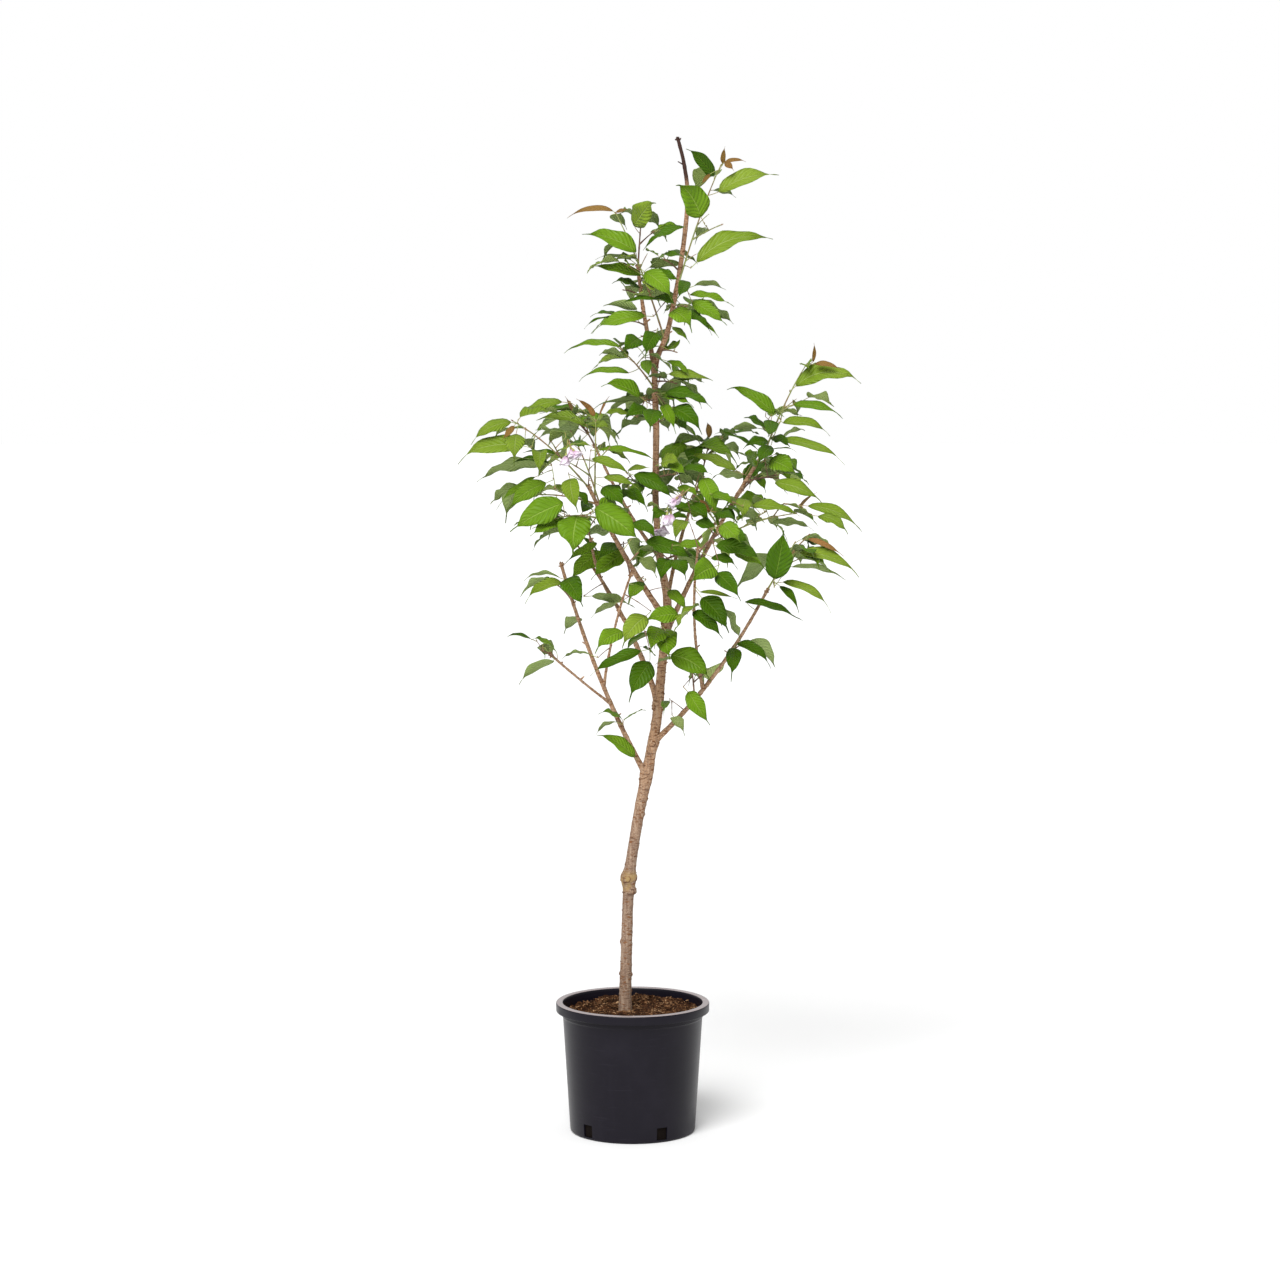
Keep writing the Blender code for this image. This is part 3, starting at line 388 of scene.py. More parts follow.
@dataclass(frozen=True)
class Leaf:
    """A leaf's place and stance: stalk foot, blade foot, heading, slope, curl, twist, fold and size."""

    foot: Vector
    neck: Vector
    heading: float
    pitch: float
    droop: float
    sweep: float
    roll: float
    fold: float
    length: float
    width: float
    kind: LeafKind
    tone: Tone | None = None

    def axes(self, share: float) -> tuple[Vector, Vector, Vector]:
        """Find the blade's directions at a share of its length.

        Args:
            share: Share of the midrib passed.

        Returns:
            Forward, side and upward directions.
        """
        pitch = self.pitch - self.droop * share
        turn = self.heading + self.sweep * share
        level = Vector((math.cos(turn), math.sin(turn), 0.0))
        forward = level * math.cos(pitch) + UP * math.sin(pitch)
        up = UP * math.cos(pitch) - level * math.sin(pitch)
        side = forward.cross(up)
        rolled_side = side * math.cos(self.roll) + up * math.sin(self.roll)
        rolled_up = up * math.cos(self.roll) - side * math.sin(self.roll)
        return forward, rolled_side, rolled_up

    def points_back(self, least: float, front: float) -> bool:
        """Tell whether the blade lies behind a depth and points away from the picture."""
        middle = self.midrib([0.5])[0][0]
        return middle.y > front and self.axes(0.3)[0].y > least

    def midrib(self, shares: Sequence[float], march: int = 12) -> list[tuple[Vector, Vector, Vector]]:
        """March along the curling midrib.

        Args:
            shares: Rising shares of the length.
            march: Steps that the whole length takes.

        Returns:
            Point, side and upward directions at each share.
        """
        stations = []
        point = self.neck.copy()
        done = 0.0
        for share in shares:
            steps = max(1, round((share - done) * march))
            step = (share - done) / steps
            for _ in range(steps):
                point = point + self.axes(done + step / 2.0)[0] * (self.length * step)
                done += step
            _, side, up = self.axes(share)
            stations.append((point.copy(), side, up))
        return stations


@dataclass(frozen=True)
class Sight:
    """The photograph's point of view: where it was taken from and how wide it looks."""

    place: tuple[float, float, float] = (0.017, -7.0, 1.73)
    dip_deg: float = 4.79
    lens: float = 85.95
    sensor: float = 36.0
    picture: float = 1280.0

    def spot(self, across: float, down: float, depth: float) -> Vector:
        """Find the place behind a point of the picture.

        Args:
            across: Picture points from the left edge.
            down: Picture points from the top edge.
            depth: The place's Y.

        Returns:
            The place.
        """
        scale = self.lens / self.sensor * self.picture
        right, up = (across - self.picture / 2.0) / scale, (self.picture / 2.0 - down) / scale
        dip = math.radians(self.dip_deg)
        far = (depth - self.place[1]) / (math.cos(dip) + up * math.sin(dip))
        height = self.place[2] + far * (up * math.cos(dip) - math.sin(dip))
        return Vector((self.place[0] + right * far, depth, height))

    def mark(self, place: Vector) -> Vector:
        """Find the picture point, across and down, where a place shows."""
        dip, scale = math.radians(self.dip_deg), self.lens / self.sensor * self.picture
        away = place - Vector(self.place)
        far = away.y * math.cos(dip) - away.z * math.sin(dip)
        up = (away.y * math.sin(dip) + away.z * math.cos(dip)) / far
        return Vector((self.picture / 2.0 + away.x / far * scale, self.picture / 2.0 - up * scale, 0.0))


@dataclass(frozen=True)
class ShownLeaf:
    """A leaf that stands out singly: both its ends in the picture, its depth, width, tilt, droop and tone."""

    spray: str
    neck_across: float
    neck_down: float
    tip_across: float
    tip_down: float
    depth: float
    width: float
    face_deg: float
    droop_deg: float
    tone: Tone
    fold_deg: float = 20.0
    lean: float = 0.014
    least_share: float = 0.30
    true_length: float = 0.106
    stalk: float = 0.020

    def lean_of(self, chord: Vector) -> float:
        """Tell how much nearer than its foot a blade's tip is, from how short the blade shows.

        Args:
            chord: The blade as it shows, foot to tip.

        Returns:
            The way along Y, which is negative where the underside shows.
        """
        if self.tone is Tone.BRONZE:
            return self.lean
        share = self.least_share + (1.0 - self.least_share) * abs(chord.z) / chord.length
        hidden = math.sqrt(max(0.0, self.true_length**2 - chord.length_squared))
        return math.copysign(self.lean + share * hidden, self.face_deg)

    def leaf(self, sight: Sight, shift: float) -> Leaf:
        """Set the leaf at its place, its upper side turned up and towards the picture.

        Args:
            sight: The photograph's point of view.
            shift: How far back it stands from its depth.

        Returns:
            The leaf, its stalk pointing on from the blade.
        """
        neck = sight.spot(self.neck_across, self.neck_down, self.depth + shift)
        level = sight.spot(self.tip_across, self.tip_down, self.depth + shift) - neck
        chord = sight.spot(self.tip_across, self.tip_down, self.depth + shift - self.lean_of(level)) - neck
        droop = math.radians(self.droop_deg)
        length = chord.length * (droop / 2.0) / math.sin(droop / 2.0)
        pitch = math.asin(chord.z / chord.length) + droop / 2.0
        heading = math.atan2(chord.y, chord.x)
        kind = LeafKind.YOUNG if self.tone is Tone.BRONZE else LeafKind.GROWN
        fold = math.radians(self.fold_deg)
        flat = Leaf(neck, neck, heading, pitch, droop, 0.0, 0.0, fold, length, self.width, kind, self.tone)
        forward, side, up = flat.axes(0.5)
        face = math.radians(self.face_deg)
        normal = UP * math.cos(face) - Vector((0.0, math.sin(face), 0.0))
        roll = math.atan2(-normal.dot(side), normal.dot(up))
        foot = neck - flat.axes(0.0)[0] * self.stalk
        return Leaf(foot, neck, heading, pitch, droop, 0.0, roll, fold, length, self.width, kind, self.tone)


FRESH, MID, DEEP, BRONZE = Tone

# By spray, as read from the photograph: the picture points of neck and tip, then the depth,
# width, face, droop and tone of ShownLeaf
SHOWN_LEAVES = {
    "left_side": (
        (557, 653, 531, 638, -0.165, 0.03, 40, 40, MID), (531, 639, 507, 635, -0.15, 0.02, 35, 20, DEEP),
        (554, 661, 519, 684, -0.172, 0.032, -35, 35, MID),
    ),
    "left_low": (
        (591, 655, 562, 658, -0.13, 0.021, -25, 45, MID), (560, 578, 524, 579, -0.11, 0.028, -25, 55, MID),
        (562, 583, 525, 600, -0.105, 0.034, 45, 45, FRESH),
        (566, 579, 583, 607, -0.095, 0.052, 70, 25, DEEP),
        (580, 618, 564, 631, -0.085, 0.034, -50, 20, MID), (592, 596, 635, 607, 0.02, 0.034, -40, 35, MID),
        (615, 603, 591, 616, 0.01, 0.026, -30, 25, MID),
    ),
    "left_foot": (
        (622, 719, 598, 712, -0.045, 0.026, 40, 40, MID), (624, 720, 646, 709, -0.05, 0.028, -35, 20, MID),
        (617, 722, 596, 735, -0.04, 0.018, -30, 40, MID), (635, 757, 597, 733, -0.03, 0.038, 50, 25, MID),
    ),
    "front_low": (
        (678, 614, 643, 620, -0.19, 0.044, 60, 25, MID), (646, 616, 622, 647, -0.215, 0.05, 65, 20, FRESH),
        (660, 628, 650, 651, -0.14, 0.048, 75, 20, MID), (666, 631, 670, 660, -0.13, 0.052, 75, 20, MID),
        (641, 651, 590, 674, -0.11, 0.034, 45, 25, DEEP), (650, 662, 629, 698, -0.125, 0.054, 80, 15, DEEP),
        (655, 656, 640, 646, -0.09, 0.018, 50, 20, DEEP),
    ),
    "front_left": (
        (623, 632, 595, 651, -0.2, 0.041, 60, 25, MID), (643, 558, 657, 577, -0.2, 0.036, -50, 20, FRESH),
        (640, 548, 656, 553, -0.2, 0.026, -50, 30, MID), (632, 538, 637, 563, -0.22, 0.03, -55, 20, MID),
        (641, 586, 629, 600, -0.19, 0.034, 60, 15, MID),
    ),
    "front_foot": (
        (671, 655, 711, 680, -0.12, 0.059, 60, 30, MID), (669, 701, 664, 713, -0.06, 0.02, 70, 10, MID),
        (674, 717, 685, 734, -0.065, 0.03, -60, 15, FRESH), (688, 692, 710, 725, -0.115, 0.04, 75, 20, MID),
    ),
    "right_knob": (
        (734, 648, 731, 677, -0.11, 0.036, 70, 20, DEEP), (737, 644, 771, 666, -0.105, 0.031, 45, 50, DEEP),
        (745, 602, 803, 622, -0.11, 0.03, 32, 40, DEEP),
    ),
    "front_mid": (
        (693, 612, 723, 639, -0.19, 0.038, 60, 25, DEEP), (702, 598, 729, 632, -0.2, 0.052, 65, 20, DEEP),
        (700, 592, 738, 599, -0.215, 0.016, 40, 25, FRESH),
    ),
    "front_right": (
        (714, 567, 690, 583, -0.29, 0.056, 80, 15, MID), (717, 573, 741, 599, -0.285, 0.04, 65, 25, DEEP),
        (722, 524, 741, 543, -0.3, 0.044, 75, 20, MID), (716, 546, 763, 561, -0.265, 0.04, 55, 30, DEEP),
        (686, 521, 675, 541, -0.24, 0.034, 60, 20, FRESH), (722, 533, 750, 545, -0.24, 0.036, 50, 25, DEEP),
        (735, 552, 766, 568, -0.22, 0.034, 45, 25, MID), (712, 557, 738, 566, -0.235, 0.03, 45, 25, DEEP),
    ),
    "left_front": (
        (643, 582, 628, 601, -0.09, 0.03, 50, 20, DEEP), (563, 503, 510, 531, -0.175, 0.064, 68, 25, MID),
        (563, 519, 530, 536, -0.15, 0.044, 50, 25, MID), (577, 516, 573, 555, -0.185, 0.074, 85, 10, MID),
        (570, 479, 578, 511, -0.155, 0.044, 80, 10, FRESH), (595, 508, 642, 543, -0.17, 0.064, 65, 25, MID),
    ),
    "top_right": (
        (714, 176, 686, 147, -0.03, 0.036, 72, 10, DEEP), (719, 192, 779, 175, -0.05, 0.05, 50, 45, FRESH),
        (701, 217, 676, 181, -0.07, 0.066, 75, 20, MID),
        (710, 174, 701, 185, -0.045, 0.011, 45, 10, BRONZE),
        (723, 164, 725, 146, -0.04, 0.012, 50, 5, BRONZE),
        (724, 163, 746, 161, -0.045, 0.015, 45, 25, BRONZE),
        (725, 162, 734, 170, -0.055, 0.016, 60, 15, BRONZE),
        (714, 190, 736, 197, 0.0, 0.023, -35, 20, DEEP), (697, 262, 773, 239, -0.045, 0.053, 50, 55, FRESH),
        (703, 228, 695, 240, -0.02, 0.028, -50, 15, MID),
    ),
    "leader_mid": (
        (684, 227, 643, 247, -0.02, 0.032, 30, 35, DEEP), (664, 254, 686, 257, -0.01, 0.022, 40, 20, DEEP),
    ),
    "leader_tip": (
        (634, 226, 656, 199, 0.01, 0.053, 75, 15, FRESH), (645, 215, 661, 229, 0.05, 0.034, -50, 40, DEEP),
    ),
    "top_left": (
        (613, 211, 567, 217, -0.06, 0.023, 40, 45, BRONZE),
        (616, 212, 629, 209, -0.04, 0.014, 45, 10, BRONZE),
        (611, 215, 627, 227, -0.07, 0.025, -55, 10, MID), (636, 252, 582, 233, -0.065, 0.05, 55, 45, MID),
    ),
    "leader_high": (
        (638, 259, 595, 257, 0.02, 0.023, -20, 25, DEEP), (641, 275, 590, 266, -0.015, 0.036, 45, 25, MID),
        (680, 263, 644, 269, 0.01, 0.034, -35, 20, MID),
    ),
    "leader_low": (
        (645, 272, 673, 299, -0.05, 0.046, 70, 15, MID), (658, 300, 619, 303, -0.06, 0.023, 30, 20, DEEP),
        (637, 309, 603, 304, -0.03, 0.03, -50, 25, MID), (645, 316, 591, 330, -0.05, 0.039, 50, 35, MID),
        (617, 318, 584, 326, -0.02, 0.014, 20, 35, DEEP), (640, 288, 612, 281, 0.02, 0.03, 45, 25, DEEP),
        (653, 272, 680, 281, 0.01, 0.032, 50, 25, DEEP), (655, 297, 677, 306, -0.03, 0.028, 45, 20, DEEP),
    ),
    "leader_side": (
        (694, 286, 726, 290, -0.03, 0.03, -30, 45, MID), (690, 295, 734, 305, -0.045, 0.027, 40, 35, MID),
        (692, 302, 727, 325, -0.055, 0.039, 55, 30, MID), (684, 310, 712, 331, -0.05, 0.028, 35, 30, DEEP),
        (672, 311, 692, 329, -0.06, 0.048, 68, 20, MID), (693, 315, 719, 338, -0.035, 0.015, 30, 20, MID),
        (673, 327, 690, 342, -0.04, 0.018, 35, 15, MID), (686, 281, 677, 299, -0.05, 0.03, 70, 10, DEEP),
    ),
    "mid_shoot": (
        (621, 347, 564, 351, -0.06, 0.027, 35, 50, MID), (625, 357, 599, 353, -0.05, 0.03, -45, 25, MID),
        (629, 373, 579, 377, -0.05, 0.025, 35, 40, MID),
    ),
    "fork": (
        (638, 338, 622, 351, -0.05, 0.043, 75, 20, DEEP), (656, 333, 645, 357, -0.07, 0.043, 80, 10, DEEP),
        (662, 330, 668, 349, -0.03, 0.036, -65, 10, MID),
    ),
    "mid_left": (
        (646, 360, 650, 378, -0.07, 0.028, 78, 10, MID), (640, 397, 601, 384, -0.06, 0.043, 55, 35, MID),
        (645, 400, 592, 406, -0.04, 0.025, -25, 25, DEEP), (647, 409, 624, 416, -0.07, 0.041, 60, 20, DEEP),
        (630, 415, 601, 415, -0.05, 0.021, 45, 30, FRESH), (655, 410, 650, 431, -0.09, 0.043, 80, 10, DEEP),
    ),
    "mid_right": (
        (667, 361, 691, 378, -0.02, 0.021, 45, 30, MID), (669, 374, 713, 380, -0.05, 0.031, 40, 30, FRESH),
        (665, 393, 712, 408, -0.07, 0.038, 40, 45, DEEP), (662, 396, 694, 405, -0.05, 0.03, 35, 25, MID),
        (663, 405, 676, 433, -0.06, 0.03, 55, 30, MID), (673, 408, 702, 432, -0.07, 0.044, 60, 30, DEEP),
    ),
    "left_outer": (
        (511, 422, 471, 442, -0.15, 0.034, 50, 50, FRESH),
        (514, 426, 502, 440, -0.165, 0.016, 50, 10, BRONZE),
        (523, 446, 458, 458, -0.165, 0.05, 52, 45, FRESH),
        (516, 434, 514, 461, -0.17, 0.043, 65, 10, FRESH), (525, 439, 536, 452, -0.13, 0.032, -55, 15, MID),
    ),
    "left_shoot": (
        (560, 456, 522, 452, -0.08, 0.02, 30, 30, DEEP), (562, 402, 517, 421, -0.04, 0.03, 45, 55, FRESH),
        (571, 443, 586, 449, -0.06, 0.025, 45, 30, DEEP), (592, 459, 633, 475, -0.07, 0.03, 45, 30, FRESH),
        (604, 477, 639, 487, -0.08, 0.027, 40, 30, FRESH),
    ),
    "left_edge": (
        (543, 465, 477, 481, -0.12, 0.043, -40, 35, MID), (549, 463, 511, 462, -0.1, 0.028, 30, 30, DEEP),
        (535, 477, 496, 507, -0.115, 0.02, 35, 30, MID), (546, 483, 507, 511, -0.135, 0.045, 65, 25, MID),
    ),
    "left_back": (
        (586, 425, 536, 421, 0.02, 0.032, 40, 50, FRESH), (587, 424, 613, 430, 0.01, 0.028, 40, 40, FRESH),
        (594, 413, 576, 398, 0.04, 0.016, 45, 20, BRONZE), (571, 441, 554, 431, -0.01, 0.028, 55, 30, MID),
    ),
    "centre_left": (
        (599, 450, 657, 459, -0.04, 0.023, 35, 30, MID), (603, 487, 625, 508, -0.07, 0.045, 65, 20, DEEP),
        (634, 475, 674, 500, -0.05, 0.04, 55, 30, DEEP), (626, 491, 648, 508, -0.03, 0.032, 60, 25, DEEP),
        (628, 470, 650, 468, -0.02, 0.022, 45, 20, FRESH), (618, 492, 640, 502, -0.04, 0.03, 55, 20, DEEP),
    ),
    "left_mid": (
        (603, 552, 569, 581, 0.1, 0.048, 50, 20, MID),
    ),
    "left_fork": (
        (597, 543, 564, 562, 0.03, 0.025, 45, 20, MID), (619, 545, 598, 560, 0.0, 0.036, 55, 20, DEEP),
        (624, 553, 591, 578, 0.02, 0.06, 50, 25, MID),
    ),
    "centre_right": (
        (661, 463, 680, 462, -0.08, 0.036, 65, 35, FRESH), (662, 466, 688, 476, -0.07, 0.034, 50, 25, MID),
        (683, 468, 712, 475, -0.06, 0.03, 45, 25, DEEP), (675, 477, 697, 487, -0.05, 0.028, -50, 20, MID),
        (692, 504, 710, 519, -0.08, 0.03, 60, 20, DEEP), (697, 521, 719, 534, -0.1, 0.034, 55, 20, DEEP),
        (678, 487, 700, 497, -0.06, 0.026, 45, 20, MID),
    ),
    "right_shoot": (
        (796, 386, 861, 382, 0.06, 0.054, 50, 75, FRESH), (815, 364, 841, 369, 0.05, 0.018, 45, 30, BRONZE),
        (813, 362, 814, 342, 0.06, 0.009, 60, 5, BRONZE), (775, 414, 727, 384, 0.06, 0.041, 55, 30, MID),
        (793, 405, 843, 416, 0.06, 0.031, 40, 45, MID), (783, 423, 830, 432, 0.05, 0.036, 42, 50, FRESH),
        (782, 437, 805, 428, 0.09, 0.028, -45, 25, MID), (781, 440, 845, 461, 0.04, 0.03, 42, 40, FRESH),
        (768, 432, 744, 417, 0.08, 0.036, 50, 20, DEEP), (770, 420, 768, 437, 0.03, 0.036, 80, 5, DEEP),
        (757, 428, 728, 432, 0.07, 0.028, -45, 30, MID),
        (768, 441, 743, 446, 0.06, 0.034, 50, 25, DEEP), (771, 446, 757, 464, 0.04, 0.034, 65, 15, DEEP),
        (771, 437, 790, 447, 0.06, 0.03, 50, 20, DEEP),
    ),
    "right_mid": (
        (770, 450, 797, 450, 0.04, 0.014, -15, 25, DEEP), (770, 460, 797, 474, 0.03, 0.048, 65, 25, MID),
        (764, 467, 775, 479, 0.06, 0.026, -60, 10, FRESH), (757, 449, 714, 430, 0.06, 0.018, 25, 25, DEEP),
        (736, 470, 685, 455, 0.03, 0.031, 45, 30, FRESH), (733, 471, 724, 452, 0.06, 0.036, -65, 10, FRESH),
        (751, 465, 757, 449, 0.01, 0.038, 75, 10, MID), (775, 483, 822, 502, -0.02, 0.041, 48, 45, FRESH),
    ),
    "right_edge": (
        (752, 506, 800, 515, -0.06, 0.034, 42, 35, FRESH),
        (745, 499, 742, 519, -0.08, 0.038, 78, 10, FRESH), (808, 506, 862, 530, -0.05, 0.031, 48, 40, FRESH),
        (772, 523, 814, 527, -0.04, 0.03, -40, 25, MID), (818, 516, 848, 534, -0.06, 0.03, 45, 45, FRESH),
    ),
    "right_low": (
        (808, 539, 844, 556, -0.16, 0.018, 40, 35, BRONZE),
        (775, 579, 784, 527, -0.19, 0.066, 78, 10, DEEP), (800, 553, 859, 575, -0.165, 0.036, 50, 40, FRESH),
        (792, 567, 846, 580, -0.15, 0.026, -30, 35, MID), (783, 582, 831, 608, -0.16, 0.026, 42, 35, FRESH),
        (780, 586, 799, 611, -0.14, 0.02, 45, 20, DEEP), (783, 575, 805, 544, -0.175, 0.02, -50, 10, FRESH),
    ),
    "right_inner": (
        (703, 478, 717, 516, -0.08, 0.044, 70, 15, MID), (700, 500, 712, 515, -0.1, 0.014, 50, 10, BRONZE),
        (712, 494, 736, 504, -0.12, 0.03, 45, 25, MID), (745, 508, 757, 526, -0.12, 0.028, -50, 20, MID),
        (716, 512, 738, 522, -0.14, 0.028, 45, 25, DEEP),
    ),
    "centre_low": (
        (646, 542, 696, 560, -0.09, 0.045, 55, 30, DEEP), (668, 559, 661, 582, -0.09, 0.042, 70, 15, DEEP),
        (673, 560, 686, 578, -0.095, 0.036, 65, 15, DEEP), (679, 545, 707, 550, -0.13, 0.032, 50, 25, MID),
        (669, 590, 688, 611, -0.08, 0.028, 55, 20, MID),
    ),
    "centre_front": (
        (632, 523, 657, 539, -0.07, 0.034, 50, 25, DEEP), (665, 512, 652, 520, -0.07, 0.034, 68, 15, DEEP),
        (671, 516, 690, 518, -0.06, 0.022, 50, 20, DEEP), (668, 506, 693, 509, -0.05, 0.026, 50, 20, DEEP),
    ),
}


@dataclass(frozen=True)
class LeafSolid:
    """The plain solid that a leaf has in the part, which keeps its room free."""

    thickness_share: float = 1.0 / 75.0
    least_thickness: float = 0.0012
    stalk_width: float = 0.0022
    stalk_foot_width: float = 0.0014
    grown_stations: tuple[Range, ...] = ((0.32, 1.0), (0.68, 0.64))
    young_stations: tuple[Range, ...] = ((0.42, 1.0),)
    corners: tuple[float, ...] = (150.0, 30.0, -90.0)

    def shell(self, leaf: Leaf, margin: float, stalk: bool = True) -> Shell:
        """Shape the solid.

        Args:
            leaf: The leaf.
            margin: How far it is grown.
            stalk: Whether its stalk is there.

        Returns:
            The solid's vertices and faces.
        """
        verts: list[Vector] = []
        faces: list[tuple[int, ...]] = [(0, 2, 1)]
        thickness = max(leaf.length * self.thickness_share, self.least_thickness) / 2.0 + margin
        forward, side, _ = leaf.axes(0.0)
        way = (leaf.neck - leaf.foot).normalized()
        bases = [(leaf.neck, (way + forward).normalized(), self.stalk_width)]
        if stalk:
            bases.insert(0, (leaf.foot, way, self.stalk_foot_width))
            for k in range(3):
                after = (k + 1) % 3
                faces.extend(((k, after, 3 + after), (k, 3 + after, 3 + k)))
        for base, direction, width in bases:
            level = (side - direction * side.dot(direction)).normalized()
            over = level.cross(direction)
            for corner in self.corners:
                turn = math.radians(corner)
                spoke = level * math.cos(turn) + over * math.sin(turn)
                verts.append(base + spoke * (width / 2.0 + margin))
        neck = len(verts) - 3
        stations = self.young_stations if leaf.kind is LeafKind.YOUNG else self.grown_stations
        lines = leaf.midrib([*(share for share, _ in stations), 1.0])
        for (point, across, over), (_, fullness) in zip(lines, stations):
            half = leaf.width * fullness / 2.0 + margin
            lift = over * (half * math.sin(leaf.fold))
            reach = across * (half * math.cos(leaf.fold))
            verts.extend((point - reach + lift, point + over * thickness, point + reach + lift))
            verts.append(point - over * thickness)
        verts.append(lines[-1][0])
        left, top, right, under = neck + 3, neck + 4, neck + 5, neck + 6
        faces.extend(((neck, neck + 1, top), (neck, top, left), (neck + 1, right, top)))
        faces.extend(((neck, left, under), (neck, under, neck + 2)))
        faces.extend(((neck + 1, neck + 2, under), (neck + 1, under, right)))
        for _ in stations[1:]:
            for edge in (left, right):
                for middle in (top, under):
                    faces.extend(((edge, middle, middle + 4), (edge, middle + 4, edge + 4)))
            left, top, right, under = left + 4, top + 4, right + 4, under + 4
        tip = len(verts) - 1
        faces.extend((tip - 4 + k, tip - 4 + (k + 1) % 4, tip) for k in range(4))
        return verts, faces


@dataclass
class GrownSpray:
    """One spray as it has grown."""

    plan: Spray
    stems: list[Stem]
    stalks: list[Stem] = field(default_factory=list)
    fine: list[Stem] = field(default_factory=list)
    leaves: list[Leaf] = field(default_factory=list)
    front: float = -math.inf

    @property
    def reach(self) -> float:
        """Length from the stem's foot to its tip."""
        return Vector(self.plan.reach).length


@dataclass
class BlossomSolid:
    """The plain five-lobed bell that a blossom has in the part."""

    petals: int = 5
    radius: float = 0.018
    waist: float = 0.009
    drop: float = 0.017
    wall: float = 0.0030

    def shell(self, crown: Vector) -> Shell:
        """Shape the bell.

        Args:
            crown: The end of the blossom's stalk.

        Returns:
            The bell's vertices and faces.
        """
        verts = [crown + UP * self.wall / 2.0, crown - UP * self.wall / 2.0]
        faces = []
        for k in range(2 * self.petals):
            angle = math.pi * k / self.petals
            radius, drop = (self.radius, self.drop) if k % 2 == 0 else (self.waist, self.drop / 2.0)
            verts.append(crown + Vector((radius * math.cos(angle), radius * math.sin(angle), -drop)))
            after = 2 + (k + 1) % (2 * self.petals)
            faces.extend(((0, 2 + k, after), (1, after, 2 + k)))
        return verts, faces


